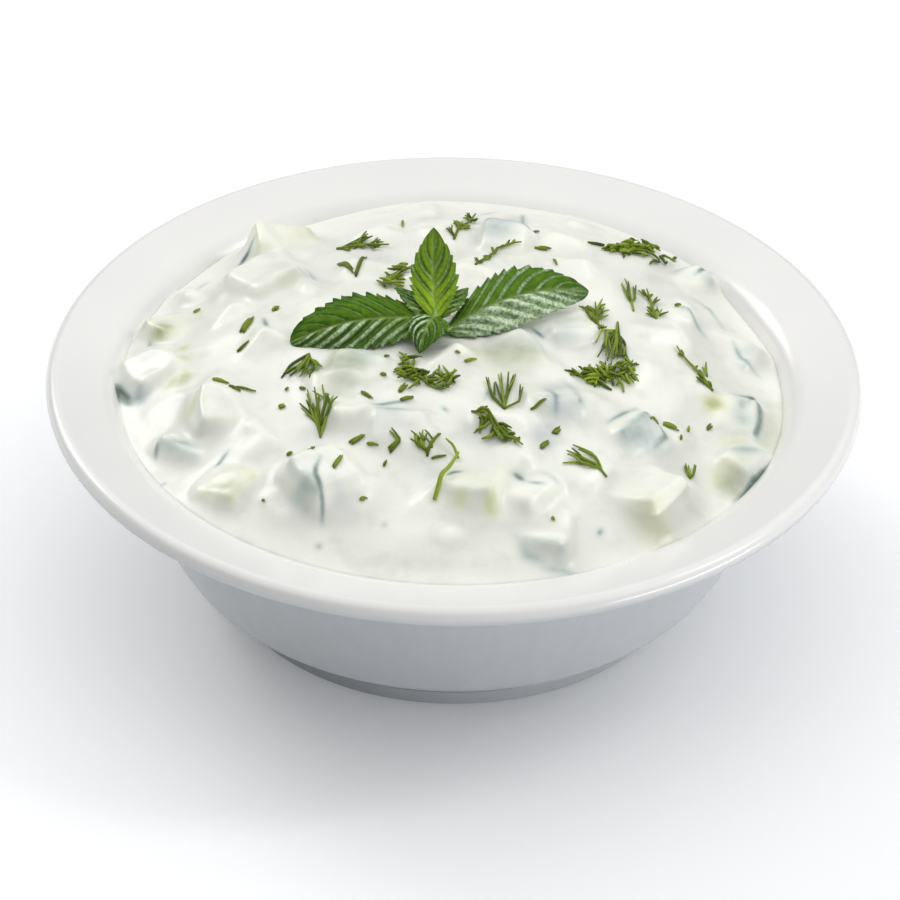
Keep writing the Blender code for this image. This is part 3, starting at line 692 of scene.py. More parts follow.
def yogurt_material(settings):
    """Strained yogurt that turns blue-grey over dark skin and olive over wet flesh, with painted shade in
    its hollows and some painted shadow.
    """
    paint = Paint("strained_yogurt")
    cloud = paint.noise(9, detail=3)
    # Painted shade: the hollows turn to the darker cool colour, which random cloudy tone also mixes in.
    thin = (paint.attribute("hollow") * 1.2 + cloud * 0.8 - 0.5).smooth(0.2, 0.9)
    base = paint.mix(thin, settings.cream_colour, settings.hollow_shade_and_tone_colour)
    veil = paint.noise(6, detail=2).smooth(0.5, 0.72) * 0.75
    base = paint.mix(veil, base, settings.veil_colour, blend="MULTIPLY")
    flesh = (
        (0.0, (1, 1, 1)),
        (0.35, (0.95, 0.955, 0.84)),
        (0.7, (0.82, 0.845, 0.58)),
        (1.0, (0.60, 0.63, 0.33)),
    )
    shade = ((0.0, (1, 1, 1)), (1.0, (0.62, 0.655, 0.73)))
    skin = (
        (0.0, (1, 1, 1)),
        (0.25, (0.76, 0.82, 0.845)),
        (0.5, (0.36, 0.44, 0.44)),
        (0.8, (0.09, 0.145, 0.11)),
        (1.0, (0.04, 0.08, 0.04)),
    )
    mottle = paint.noise(2.5, detail=3) * 0.7 + 0.65
    for kind, strength, stops in (("flesh", 1.0, flesh), ("shade", 1.0, shade), ("skin", 1.25, skin)):
        shown = (paint.attribute(kind) * mottle * strength).clamp()
        base = paint.mix(1.0, base, paint.ramp(shown, stops), blend="MULTIPLY")
    fine = paint.noise(1.1, detail=3)
    curds = paint.noise(0.45, detail=2)
    height = fine * 0.7 + curds * 0.3
    return paint.finish(
        Base_Color=base,
        Roughness=cloud * 0.1 + settings.roughness,
        Normal=paint.bump(height, 0.06),
        Specular_IOR_Level=0.45,
        Coat_Weight=0.2,
        Coat_Roughness=0.15,
        Subsurface_Weight=0.25,
        Subsurface_Radius=(1.0, 0.85, 0.7),
        Subsurface_Scale=1.2 * MM,
    )


def cucumber_material(settings):
    """Wet cucumber: dark skin, a bright line under it, pale flesh, and a patchy yogurt film."""
    paint = Paint("cucumber")
    depth = paint.attribute("rind_depth")
    flecks = paint.noise(0.8, detail=3)
    stops = (
        (0.0, settings.skin_colour),
        (0.035, settings.skin_colour),
        (0.07, settings.under_skin_colour),
        (0.2, settings.flesh_colour),
        (0.7, settings.heart_colour),
    )
    colour = paint.ramp(depth * 0.1 + (flecks - 0.5) * 0.02, stops)
    pale = paint.noise(0.5, detail=2).smooth(0.62, 0.72) * 0.25
    colour = paint.mix(pale, colour, settings.flesh_colour)
    film = paint.noise(2.2, detail=3).smooth(0.46, 0.66)
    colour = paint.mix(film * 0.75, colour, settings.film_colour)
    fibre = paint.noise(0.6, detail=3)
    return paint.finish(
        Base_Color=colour,
        Roughness=film * 0.15 + settings.roughness,
        Normal=paint.bump(fibre, 0.08),
        Coat_Weight=0.4,
        Coat_Roughness=0.12,
        Subsurface_Weight=0.2,
        Subsurface_Radius=(0.8, 1.0, 0.5),
        Subsurface_Scale=1.5 * MM,
    )


def mint_material(settings):
    """Mint leaf: light veins and a deep green blade, with painted light and shade: lighter raised ribs,
    darker creases beside the veins, and a painted silvery sheen on the ribs and along the veins.
    """
    paint = Paint("mint_leaf")
    mottle = paint.noise(2.2, detail=3)
    blade = paint.mix(mottle.smooth(0.38, 0.66), settings.deep_colour, settings.blade_colour)
    blade = paint.mix(paint.attribute("young"), blade, settings.young_colour)
    # Painted light and shade: the raised ribs are lighter and the creases beside the veins darker.
    blade = paint.mix(paint.attribute("raised") * 0.5, blade, settings.painted_rib_light_colour)
    blade = paint.mix(paint.attribute("crease") * 0.85, blade, settings.painted_crease_shade_colour)
    # Painted sheen: a silvery highlight on the ribs and veins, broken up by fine grain and patches.
    sheen_grain = paint.noise(0.6, detail=3).smooth(0.35, 0.62)
    patches = paint.noise(3.0, detail=2).smooth(0.35, 0.65) * 0.6 + 0.75
    bloom = (paint.attribute("bloom") * patches * (sheen_grain * 0.75 + 0.3)).clamp()
    blade = paint.mix(bloom, blade, settings.painted_sheen_colour)
    blade = paint.mix(paint.attribute("vein") * 0.6, blade, settings.vein_colour)
    cells = paint.noise(0.6, detail=3)
    return paint.finish(
        Base_Color=blade,
        Roughness=mottle * 0.15 + settings.roughness,
        Normal=paint.bump(cells, 0.2),
        Specular_IOR_Level=0.06,
    )


def dill_material(settings):
    """Dill: each needle has its own tone between dark and bright green."""
    paint = Paint("dill")
    tone = paint.attribute("tone")
    grain = paint.noise(0.5, detail=2)
    mixed = (tone * 0.8 + grain * 0.2).clamp()
    colour = paint.mix(mixed, settings.dark_colour, settings.bright_colour)
    return paint.finish(
        Base_Color=colour,
        Roughness=grain * 0.2 + settings.roughness,
        Normal=paint.bump(grain, 0.04),
        Specular_IOR_Level=0.2,
    )


def floor_material(settings):
    """Matt pale floor that gives off a little light, so that its shadow stays pale."""
    paint = Paint("pale_floor")
    cloud = paint.noise(60, detail=2)
    colour = paint.mix(cloud, settings.floor_colour, settings.floor_shade)
    return paint.finish(
        Base_Color=colour,
        Roughness=0.9,
        Specular_IOR_Level=0.1,
        Emission_Color=(1, 1, 1, 1),
        Emission_Strength=settings.floor_glow,
    )


# ---------------------------------------------------------------- bowl


def wall_radius(height):
    """Outer radius of the bowl's wall, which flares quickly and then stands up."""
    share = np.clip((height - FOOT_HEIGHT) / (WALL_TOP_HEIGHT - FOOT_HEIGHT), 0, None)
    return WALL_FOOT_RADIUS + (WALL_TOP_RADIUS - WALL_FOOT_RADIUS) * share**WALL_FLARE


def rim_height(radius):
    """Height of the rim's top, a cone that falls inwards from the lip."""
    lip_top = LIP_HEIGHT + LIP_ROUND / math.cos(RIM_SLOPE)
    return lip_top - (RIM_RADIUS - LIP_ROUND - radius) * math.tan(RIM_SLOPE)


def inside_profile(steps):
    """(radius, height) from the floor's middle up to the rim's top."""
    bend_end = (wall_radius(FLOOR_BEND) - WALL_THICK, FLOOR_BEND)
    bend_corner = (bend_end[0] - FLOOR_LEAN, FLOOR_HEIGHT)
    points = bend((FLOOR_RADIUS, FLOOR_HEIGHT), bend_corner, bend_end, steps)
    for height in np.linspace(FLOOR_BEND, EDGE_FOOT, steps + 1)[1:-1]:
        points.append((wall_radius(height) - WALL_THICK, height))
    edge_start = (wall_radius(EDGE_FOOT) - WALL_THICK, EDGE_FOOT)
    edge_corner = (EDGE_RADIUS - EDGE_LEAN, rim_height(EDGE_RADIUS))
    rim_start = EDGE_RADIUS + EDGE_ROUND
    points += bend(edge_start, edge_corner, (rim_start, rim_height(rim_start)), 2 * steps)
    return points


def lip_profile(steps):
    """The rolled lip, from the rim's top round to its underside."""
    angles = math.radians(90) + RIM_SLOPE - np.linspace(0, LIP_SWEEP, steps + 1)
    radii = RIM_RADIUS - LIP_ROUND + LIP_ROUND * np.cos(angles)
    return list(zip(radii, LIP_HEIGHT + LIP_ROUND * np.sin(angles)))


def outside_profile(steps):
    """From the rim's underside down the wall to the foot and its recess."""
    under_radius = WALL_TOP_RADIUS + UNDER_REACH
    under_start = (under_radius, rim_height(under_radius) - RIM_THICK)
    under_corner = (WALL_TOP_RADIUS + UNDER_LEAN, rim_height(WALL_TOP_RADIUS) - RIM_THICK)
    wall_start = WALL_TOP_HEIGHT - UNDER_DROP
    points = bend(under_start, under_corner, (wall_radius(wall_start), wall_start), steps)
    for height in np.linspace(wall_start, SHOULDER_HEIGHT, 2 * steps + 1)[1:]:
        points.append((wall_radius(height), height))
    ring_top = (RING_RADIUS - GROOVE_DEPTH, RING_HEIGHT + GROOVE_DEPTH)
    corner = (points[-1][0] - SHOULDER_LEAN, SHOULDER_HEIGHT - SHOULDER_DROP)
    points += bend(points[-1], corner, ring_top, steps)[1:]
    ring_edge = (RING_RADIUS - FOOT_ROUND, RING_HEIGHT)
    ring_side = (RING_RADIUS, RING_HEIGHT - FOOT_ROUND)
    points += bend(ring_top, (ring_top[0], RING_HEIGHT), ring_edge, 3)[1:]
    points += bend(ring_edge, (RING_RADIUS, RING_HEIGHT), ring_side, 3)[1:]
    points += bend((RING_RADIUS, FOOT_ROUND), (RING_RADIUS, 0), (RING_RADIUS - FOOT_ROUND, 0), 4)
    ring_inside = FOOT_RADIUS - FOOT_WIDTH
    points.append((ring_inside + FOOT_ROUND, 0.0))
    points.append((ring_inside - FOOT_ROUND, FOOT_RECESS))
    return points


def inside_radius(height):
    """Radius of the bowl's inside at a height below the rim."""
    profile = np.array(inside_profile(24))
    return np.interp(height, profile[:, 1], profile[:, 0])


def bowl_mesh(segments, steps):
    """The bowl's whole profile turned about its axis. What is under the lip is marked for painted shade.
    """
    inside = inside_profile(steps)
    profile = inside + lip_profile(2 * steps) + outside_profile(steps)
    maker = MeshMaker()
    angles = np.linspace(0, 2 * math.pi, segments, endpoint=False)
    for index, (radius, height) in enumerate(profile):
        under = 0.0
        if index >= len(inside):
            under = float(smooth_step(LIP_HEIGHT + PAINTED_SHADE_FADE, LIP_HEIGHT - PAINTED_SHADE_FADE, height))
        heights = np.full(segments, height)
        ring = zip(radius * np.cos(angles), radius * np.sin(angles), heights)
        maker.add(ring, [], under=[under] * segments)
    faces = []
    for row in range(len(profile) - 1):
        faces += ring_faces(row * segments, (row + 1) * segments, segments)
    last = (len(profile) - 1) * segments
    middle = len(profile) * segments
    for step in range(segments):
        after = (step + 1) % segments
        faces.append((middle, after, step))
        faces.append((middle + 1, last + step, last + after))
    maker.add([(0, 0, FLOOR_HEIGHT), (0, 0, FOOT_RECESS)], [], under=[0.0, 1.0])
    maker.faces = faces
    return maker.mesh("bowl_glaze", outwards=True)


# ---------------------------------------------------------------- cucumber shape


class Block:
    """One cucumber piece: where it lies, and its flat cuts and round skin."""

    def __init__(self, name, middle, sizes):
        self.name = name
        length, width, height, skin, pitch, roll = sizes[:6]
        self.cut_coat, self.skin_coat, self.flesh_shows, self.skin_shows = sizes[6:]
        self.half = np.array((length, width, height)) / 2 * MM
        turn = Matrix.Rotation(math.radians(skin), 4, "Z")
        tip = Matrix.Rotation(math.radians(pitch), 4, "Y")
        spin = Matrix.Rotation(math.radians(roll), 4, "X")
        self.matrix = Matrix.Translation(middle) @ turn @ tip @ spin
        self.axes = np.array(self.matrix.to_3x3())
        self.middle = np.array(middle)

    def planes(self):
        """(outward normal, offset, yogurt over it) of each side, in the block's own axes."""
        length, width, height = self.half
        lean = (1 - HEART_TAPER) * width / (2 * length)
        sides = [((-1, 0, 0), length, self.cut_coat)]
        for side in (-1, 1):
            normal = np.array((-lean, side, 0)) / math.hypot(lean, 1)
            sides.append((normal, normal @ (length, side * width, 0), self.cut_coat))
            sides.append(((0, 0, side), height, self.cut_coat))
        for facet in SKIN_FACETS:
            turn = facet * width / CUCUMBER_RADIUS * FACET_TURN
            normal = np.array((math.cos(turn), math.sin(turn), 0))
            centre = np.array((length - CUCUMBER_RADIUS, 0, 0))
            sides.append((normal, normal @ centre + CUCUMBER_RADIUS, self.skin_coat))
        return sides

    def cover(self, x, y):
        """Height of the coated block's top over a grid, and -1 where it has none."""
        top = np.full(x.shape, np.inf)
        bottom = np.full(x.shape, -np.inf)
        for normal, offset, coat in self.planes():
            normal = self.axes @ np.array(normal, float)
            reach = offset + normal @ self.middle + coat * MM
            rest = reach - normal[0] * x - normal[1] * y
            if normal[2] > 1e-3:
                top = np.minimum(top, rest / normal[2])
            elif normal[2] < -1e-3:
                bottom = np.maximum(bottom, rest / normal[2])
            else:
                top = np.where(rest < 0, -np.inf, top)
        return np.where(top > bottom, top, -1.0)

    def nearest(self, points):
        """Distance from each point to the block, and the rind's depth at the nearest place."""
        local = (points - self.middle) @ self.axes
        length, width, height = self.half
        bulge = CUCUMBER_RADIUS - np.sqrt(CUCUMBER_RADIUS**2 - np.clip(local[:, 1], -width, width) ** 2)
        x = np.clip(local[:, 0], -length, length - bulge)
        taper = HEART_TAPER + (1 - HEART_TAPER) * (x + length) / (2 * length)
        y = np.clip(local[:, 1], -width * taper, width * taper)
        z = np.clip(local[:, 2], -height, height)
        distance = np.linalg.norm(local - np.stack((x, y, z), 1), axis=1)
        return distance, length - bulge - x


def cucumber_blocks():
    """Every cucumber piece, placed at the middle of its own node's box."""
    blocks = []
    for name, sizes in CUCUMBER.items():
        low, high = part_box("cucumber_" + name)
        blocks.append(Block(name, (low + high) / 2, sizes))
    return blocks


def block_outline(length, width):
    """A block's outline from above, with its heart towards -X and its round skin towards +X."""
    sweep = math.asin(width / CUCUMBER_RADIUS)
    heart = HEART_TAPER * width
    outline = [(-length, heart), (-length, 0), (-length, -heart), (0, -(heart + width) / 2)]
    for angle in np.linspace(-sweep, sweep, 7):
        x = length - CUCUMBER_RADIUS * (1 - math.cos(angle))
        outline.append((x, CUCUMBER_RADIUS * math.sin(angle)))
    outline.append((0, (heart + width) / 2))
    return outline


def round_cuts(bm):
    """Round the sharp edges and divide the faces finely enough to take a wave."""
    sharp = [edge for edge in bm.edges if edge.calc_face_angle(0) > math.radians(40)]
    bmesh.ops.bevel(bm, geom=sharp, offset=CUT_ROUND, segments=2, profile=0.6, affect="EDGES")
    bmesh.ops.triangulate(bm, faces=[face for face in bm.faces if len(face.verts) > 4])
    long_edges = [edge for edge in bm.edges if edge.calc_length() > CUT_GRAIN]
    bmesh.ops.subdivide_edges(bm, edges=long_edges, cuts=3, use_grid_fill=True)
    bmesh.ops.triangulate(bm, faces=bm.faces)


def make_wavy(bm, seed):
    """Move the points in and out a trifle, so that no cut is quite flat."""
    rng = random.Random(seed)
    phases = [rng.uniform(0, 6.28) for _ in range(4)]
    for vert in bm.verts:
        x, y, z = vert.co
        wave = math.sin(x * 900 + phases[0]) * math.cos(y * 1100 + phases[1])
        wave += math.sin(z * 1300 + phases[2]) * math.cos(x * 700 + phases[3])
        vert.co += vert.normal * wave * CUT_WAVE


def block_mesh(block, seed):
    """A cucumber piece with rounded, slightly wavy cuts. Its rind's depth is kept in mm."""
    length, width, height = block.half
    bm = bmesh.new()
    lower = bm.faces.new([bm.verts.new((x, y, -height)) for x, y in block_outline(length, width)])
    made = bmesh.ops.extrude_face_region(bm, geom=[lower])
    raised = [item for item in made["geom"] if isinstance(item, bmesh.types.BMVert)]
    bmesh.ops.translate(bm, verts=raised, vec=(0.0, 0.0, 2 * height))
    bmesh.ops.recalc_face_normals(bm, faces=bm.faces)
    round_cuts(bm)
    make_wavy(bm, seed)
    depths = []
    for vert in bm.verts:
        across = math.hypot(vert.co.x + CUCUMBER_RADIUS - length, vert.co.y)
        depths.append(max(CUCUMBER_RADIUS - across, 0.0) / MM)
    bm.transform(block.matrix)
    mesh = bpy.data.meshes.new("piece_" + block.name)
    bm.to_mesh(mesh)
    bm.free()
    attribute = mesh.attributes.new("rind_depth", "FLOAT", "POINT")
    attribute.data.foreach_set("value", np.array(depths, np.float32))
    mesh.shade_smooth()
    return mesh


# ---------------------------------------------------------------- dip


def blur(field, radius):
    """Soften a square grid with a bell of this radius, in cells."""
    count = len(field)
    across = np.fft.rfftfreq(count)[None, :]
    along = np.fft.fftfreq(count)[:, None]
    gain = np.exp(-2 * (math.pi * radius) ** 2 * (across**2 + along**2))
    return np.fft.irfft2(np.fft.rfft2(field) * gain, s=field.shape)


def join(first, second, softness):
    """The higher of two surfaces, with a soft crease between them."""
    return np.logaddexp(first / softness, second / softness) * softness


def line_strength(x, y, width, places):
    """1 along a line through these places, fading over its half width and at its ends."""
    nearest = np.full(x.shape, np.inf)
    travel = np.zeros(x.shape)
    count = max(len(places) - 1, 1)
    for index, (start, end) in enumerate(zip(places, places[1:] + places[-1:])):
        run = np.subtract(end, start) * MM
        offset_x, offset_y = x - start[0] * MM, y - start[1] * MM
        share = offset_x * run[0] + offset_y * run[1]
        share = np.clip(share / max(run @ run, 1e-12), 0, 1)
        gap = np.hypot(offset_x - share * run[0], offset_y - share * run[1])
        travel = np.where(gap < nearest, (index + share) / count, travel)
        nearest = np.minimum(nearest, gap)
    if len(places) == 1:
        travel += 0.5
    thin = 0.45 + 0.55 * np.sin(np.pi * np.clip(travel, 0, 1)) ** 0.7
    return np.exp(-((nearest / (width * MM * thin)) ** 2)) * thin


class DipRelief:
    """Height of the yogurt's surface on a square grid, with the cucumber that lies under it."""

    PITCH = 0.3 * MM

    def __init__(self, settings):
        half = EDGE_RADIUS + 4 * MM
        self.axis = np.arange(-half, half, self.PITCH)
        self.x, self.y = np.meshgrid(self.axis, self.axis)
        self.bearing = np.degrees(np.arctan2(self.y, self.x))
        self.reach = np.hypot(self.x, self.y)
        self.level = smooth_table(EDGE_LEVELS, self.bearing)
        self.wall = inside_radius(self.level)
        self.blocks = cucumber_blocks()
        fade = smooth_step(0, WALL_FADE, self.wall - self.reach)
        height = self.heap() + self.lumps() * fade
        hidden = self.hidden_blocks(height)
        height += settings.fill * fade
        height += self.ripple(11, 1) * settings.swell * fade
        height += self.ripple(4.5, 2) * settings.ripple * fade
        coat = self.ripple(3.2, 3) * COAT_VARIES + COAT_THICK
        for block in hidden:
            height = join(height, block.cover(self.x, self.y) + coat, COAT_CREASE)
        height = blur(height, DEEP_SOFTNESS / self.PITCH)
        for block in self.blocks:
            height = join(height, block.cover(self.x, self.y) + coat, COAT_CREASE)
        for radius, sink in FILLS:
            filled = blur(height, radius * MM / self.PITCH) - sink * MM
            height = join(height, filled, FILL_CREASE)
        for rise, width, *places in FOLDS:
            height += rise * MM * line_strength(self.x, self.y, width, places)
        self.height = blur(height, settings.softness / self.PITCH)

    def heap(self):
        """The plain heap, from its crown down to the level along the wall."""
        foot = smooth_table(HEAP_REACHES, self.bearing)
        share = np.minimum(self.reach / foot, 1.0)
        return self.level + (CROWN_HEIGHT - self.level) * (1 - share**HEAP_POWER)

    def hidden_blocks(self, height):
        """Pieces deep in the yogurt that only lift it here and there."""
        rng = random.Random(8)
        blocks = []
        for index in range(HIDDEN_COUNT):
            place = polar(index * HIDDEN_TURN, HIDDEN_REACH * math.sqrt((index + 0.5) / HIDDEN_COUNT))
            place.x += rng.uniform(-4, 4) * MM
            place.y += rng.uniform(-4, 4) * MM
            place.z = float(self.sample(height, place.x, place.y)) - rng.uniform(1.8, 3.4) * MM
            turn = (rng.uniform(0, 360), rng.uniform(-30, 30), rng.uniform(-30, 30))
            sizes = (rng.uniform(7, 11), rng.uniform(7, 10), rng.uniform(7, 9), *turn)
            blocks.append(Block("hidden", place, (*sizes, 0.6, 0.6, 0.0, 0.0)))
        return blocks

    def lumps(self):
        """Soft rises over pieces that lie deep."""
        height = np.zeros(self.x.shape)
        for bearing, reach, rise, radius in LUMPS:
            place = polar(bearing, reach)
            distance = np.hypot(self.x - place.x, self.y - place.y) / radius
            height = np.maximum(height, rise * np.exp(-(distance**2) * LUMP_FALL))
        return height

    def ripple(self, size, seed):
        """Soft random swells about this many millimetres across, from about -1 to 1."""
        noise = np.random.default_rng(seed).standard_normal(self.x.shape)
        noise = blur(noise, size * MM / self.PITCH / 3.5)
        return noise / np.abs(noise).max() * 1.5

    def sample(self, field, x, y):
        """A field's value between its grid's points."""
        column = np.clip((x - self.axis[0]) / self.PITCH, 0, len(self.axis) - 1.001)
        row = np.clip((y - self.axis[0]) / self.PITCH, 0, len(self.axis) - 1.001)
        left, low = column.astype(int), row.astype(int)
        across, along = column - left, row - low
        near = field[low, left] * (1 - across) + field[low, left + 1] * across
        far = field[low + 1, left] * (1 - across) + field[low + 1, left + 1] * across
        return near * (1 - along) + far * along

    def surface(self, x, y):
        """Height of the yogurt at these places."""
        return self.sample(self.height, np.asarray(x, float), np.asarray(y, float))

    def shown_through(self, settings):
        """Fields, over the grid, of how strongly skin, flesh and shade show, and of hollows for painted
        shade.
        """
        shape = self.x.shape
        points = np.stack((self.x, self.y, self.height), axis=-1).reshape(-1, 3)
        shown = {kind: np.zeros(len(points)) for kind in ("skin", "flesh", "shade")}
        for block in self.blocks:
            reach = np.linalg.norm(block.half) + 4 * MM
            near = np.linalg.norm(points - block.middle, axis=1) < reach
            distance, rind = block.nearest(points[near])
            strength = np.exp(-distance / settings.show_depth)
            rim = 1 - smooth_step(RIND_CLEAR, RIND_THICK, rind)
            skin = strength * rim * block.skin_shows
            flesh = strength * (1 - rim) * block.flesh_shows
            shown["skin"][near] = np.maximum(shown["skin"][near], skin)
            shown["flesh"][near] = np.maximum(shown["flesh"][near], flesh)
        for kind, strength, width, *places in SHOWING:
            spot = strength * line_strength(points[:, 0], points[:, 1], width, places)
            shown[kind] = np.maximum(shown[kind], spot)
        fields = {}
        for kind, values in shown.items():
            fields[kind] = blur(values.reshape(shape), settings.tint_softness / self.PITCH)
        # Hollows, where the yogurt's material paints shade.
        broad = blur(self.height, 3 * MM / self.PITCH) - self.height
        fields["hollow"] = np.clip(broad / (1.2 * MM) * 0.5 + 0.5, 0, 1)
        return fields


def dip_top(relief, rings):
    """Points over the dip's top, ring by ring from its middle out to the wall."""
    points = [np.zeros((1, 2))]
    dips = [np.zeros(1)]
    for ring in range(1, rings + 1):
        bearings = np.linspace(-180, 180, SECTORS * ring, endpoint=False)
        wall = inside_radius(smooth_table(EDGE_LEVELS, bearings))
        angles = np.radians(bearings)
        for _ in range(3):
            height = relief.surface(wall * np.cos(angles), wall * np.sin(angles))
            wall = inside_radius(height)
        reach = (wall + EDGE_OVERLAP) * ring / rings
        dips.append(smooth_step(wall - EDGE_BEND, wall + EDGE_OVERLAP, reach) * EDGE_DIP)
        points.append(np.stack((reach * np.cos(angles), reach * np.sin(angles)), 1))
    flat = np.concatenate(points)
    heights = relief.surface(flat[:, 0], flat[:, 1]) - np.concatenate(dips)
    return np.column_stack((flat, heights))


def dip_mesh(relief, settings):
    """The yogurt as one solid: its top, then rings down the bowl's inside and over its floor."""
    top = dip_top(relief, settings.rings)
    faces = []
    start = 0
    for ring in range(1, settings.rings + 1):
        after = start + max(SECTORS * (ring - 1), 1)
        faces += ring_triangles(start, after, ring)
        start = after
    edge = top[start:]
    count = len(edge)
    solid = [top]
    upper, lower = start, len(top)
    below = [(inside_radius(height) - GAP, height) for height in SIDE_HEIGHTS]
    for radius, height in (*below, *FLOOR_RINGS):
        solid.append(ring_like(edge, radius, height))
        faces += ring_faces(upper, lower, count)
        upper, lower = lower, lower + count
    faces.append(tuple(range(upper, upper + count)))
    vertices = np.concatenate(solid)
    marks = {}
    for kind, field in relief.shown_through(settings).items():
        marks[kind] = relief.sample(field, vertices[:, 0], vertices[:, 1])
    maker = MeshMaker()
    maker.add(vertices, faces, **marks)
    return maker.mesh("yogurt", outwards=True)


def ring_like(edge, radius, height):
    """A ring on the same bearings as the edge."""
    direction = edge[:, :2] / np.linalg.norm(edge[:, :2], axis=1)[:, None]
    return np.column_stack((direction * radius, np.full(len(edge), height)))


def ring_triangles(inner, outer, ring):
    """Triangles between ring - 1, which starts at inner, and ring, which starts at outer."""
    inner_count, outer_count = SECTORS * (ring - 1), SECTORS * ring
    faces = []
    for sector in range(SECTORS):
        for step in range(ring):
            low = outer + (sector * ring + step) % outer_count
            high = outer + (sector * ring + step + 1) % outer_count
            if ring == 1:
                faces.append((inner, low, high))
                continue
            here = inner + (sector * (ring - 1) + step) % inner_count
            faces.append((here, low, high))
            if step < ring - 1:
                beyond = inner + (sector * (ring - 1) + step + 1) % inner_count
                faces.append((here, high, beyond))
    return faces


# ---------------------------------------------------------------- mint


def leaf_frame(foot, tip, twist):
    """Start, end, side and normal of a leaf."""
    start = HUB + Vector(foot) * MM
    end = HUB + Vector(tip) * MM
    side_base = (end - start).cross(Vector((0, 0, 1)))
    if side_base.length < 0.5 * (end - start).length:
        side_base = Vector((1, 0, 0))
    axis = (end - start).normalized()
    side = Matrix.Rotation(math.radians(twist), 3, axis) @ side_base.normalized()
    return start, end, side, side.cross(axis)


def leaf_outline(share, broad, blunt):
    """Half width along a leaf, from 0 to 1."""
    fullness = LEAF_FULLNESS - blunt * smooth_step(0.55, 0.95, share)
    return np.sin(np.pi * share**broad).clip(0) ** fullness


class Leaf:
    """A leaf on a grid: share runs from its foot to its tip, and across from -1 to 1."""

    def __init__(self, name, sizes, seed, length_steps, width_steps):
        foot, tip, self.width, self.bow, self.sway, twist, self.cup, broad, blunt, self.veins = sizes
        self.name = name
        self.start, self.end, self.side, self.normal = leaf_frame(foot, tip, twist)
        self.lean = random.Random(seed).uniform(-0.5, 0.5)
        self.scale = self.width / LEAF_FULL_WIDTH
        shares = np.linspace(0, 1, length_steps + 1)
        places = np.linspace(-1, 1, width_steps + 1)
        self.share, self.across = np.meshgrid(shares, places, indexing="ij")
        self.out = np.abs(self.across)
        halves = smooth_step(-0.2, 0.2, self.across)
        self.outline = leaf_outline(self.share, broad[0], blunt) * halves
        self.outline += leaf_outline(self.share, broad[1], blunt) * (1 - halves)
        self.blade = self.outline.clip(0, 1)
        self.half = self.half_width()
        self.phase = self.vein_phase(halves)
        self.to_vein = np.abs(self.phase - np.round(self.phase)) * 2
        self.body = np.sin(np.pi * np.clip(self.out * 0.92 + 0.04, 0, 1)) ** 0.6
        self.puff = (1 - (1 - self.to_vein) ** 2.2) * self.body
        rib_width = 0.22 + 0.12 * self.scale
        self.midrib = np.exp(-((self.across * self.half / MM / rib_width) ** 2))
        self.ribs = rib_strength(name, self.across)

    def half_width(self):
        """Half the width along the leaf, with teeth that point to the tip."""
        wander = 0.2 * np.sin(17 * self.share + self.lean + np.sign(self.across))
        teeth = (self.share * self.veins * TEETH_PER_VEIN + wander) % 1.0
        saw = self.out**5 * TOOTH_DEPTH * (teeth - 0.6) * np.sqrt(self.outline)
        return self.width / 2 * MM * self.outline * (1 + saw) + LEAF_FOOT * (1 - self.share)

    def vein_phase(self, halves):
        """A whole number on each vein. The veins sweep forward and aren't quite alike."""
        out = self.out
        sweep = 0.74 * self.width / (self.end - self.start).length * MM
        phase = (self.share - sweep * (0.75 * out + 0.25 * out**2)) * self.veins
        phase = phase + 0.35 * (self.across > 0)
        phase += 0.07 * np.sin(9 * self.share + 5 * self.lean + 2 * halves) + 0.05 * np.sin(5 * phase)
        return phase

    def lift(self):
        """Height over the leaf's flat shape: cupping, puffed ribs, frilled margins, a crinkle."""
        share, across, out, scale, blade = self.share, self.across, self.out, self.scale, self.blade
        lift = -self.cup * MM * across**2 * np.sin(np.pi * share)
        lift += LEAF_PUFF * scale**0.7 * self.puff * blade * self.ribs
        lift -= 0.45 * MM * scale * self.midrib * blade
        lift += 0.4 * MM * scale * np.cos(2 * np.pi * self.phase) * out**4 * blade
        lift += 0.6 * MM * scale * np.sin(5 * share + self.lean * 3 + across) * out**2
        crinkle = np.sin(self.phase * 13 + 9 * out) * np.sin(31 * out + 4 * self.phase + self.lean)
        return lift + 0.1 * MM * crinkle * self.body * blade

    def points(self):
        """Places of the leaf's upper face."""
        side, normal = np.array(self.side), np.array(self.normal)
        middle = np.array(self.start) + self.share[..., None] * np.array(self.end - self.start)
        arc = (4 * MM * self.share * (1 - self.share))[..., None]
        middle = middle + (normal * self.bow + side * self.sway) * arc
        upper = middle + side * (self.half * self.across)[..., None]
        return upper + normal * self.lift()[..., None]

    def marks(self):
        """How strongly each colour shows, from 0 to about 1."""
        share, out, to_vein, blade = self.share, self.out, self.to_vein, self.blade
        vein = np.exp(-((to_vein / 0.11) ** 2)) * (0.85 - 0.5 * out**2) * np.clip(out * 8, 0, 1)
        vein = np.maximum(vein, self.midrib)
        young = np.clip(1.35 - share * 2.4, 0, 1) * (1 - 0.6 * out)
        # Painted shade in the creases beside the veins; the raised mark paints the ribs lighter.
        crease = np.exp(-(((to_vein - 0.3) / 0.2) ** 2)) * self.body
        return {
            "vein": vein * (0.4 + 0.6 * blade),
            "crease": crease * blade * np.where(self.ribs > 0.8, 1.0, 0.5),
            "raised": self.puff * blade,
            "young": young_share(self.name) * young + 0.35 * (self.name == "back"),
            "bloom": painted_sheen_of(self.name, share, self.across, to_vein) * blade,
        }


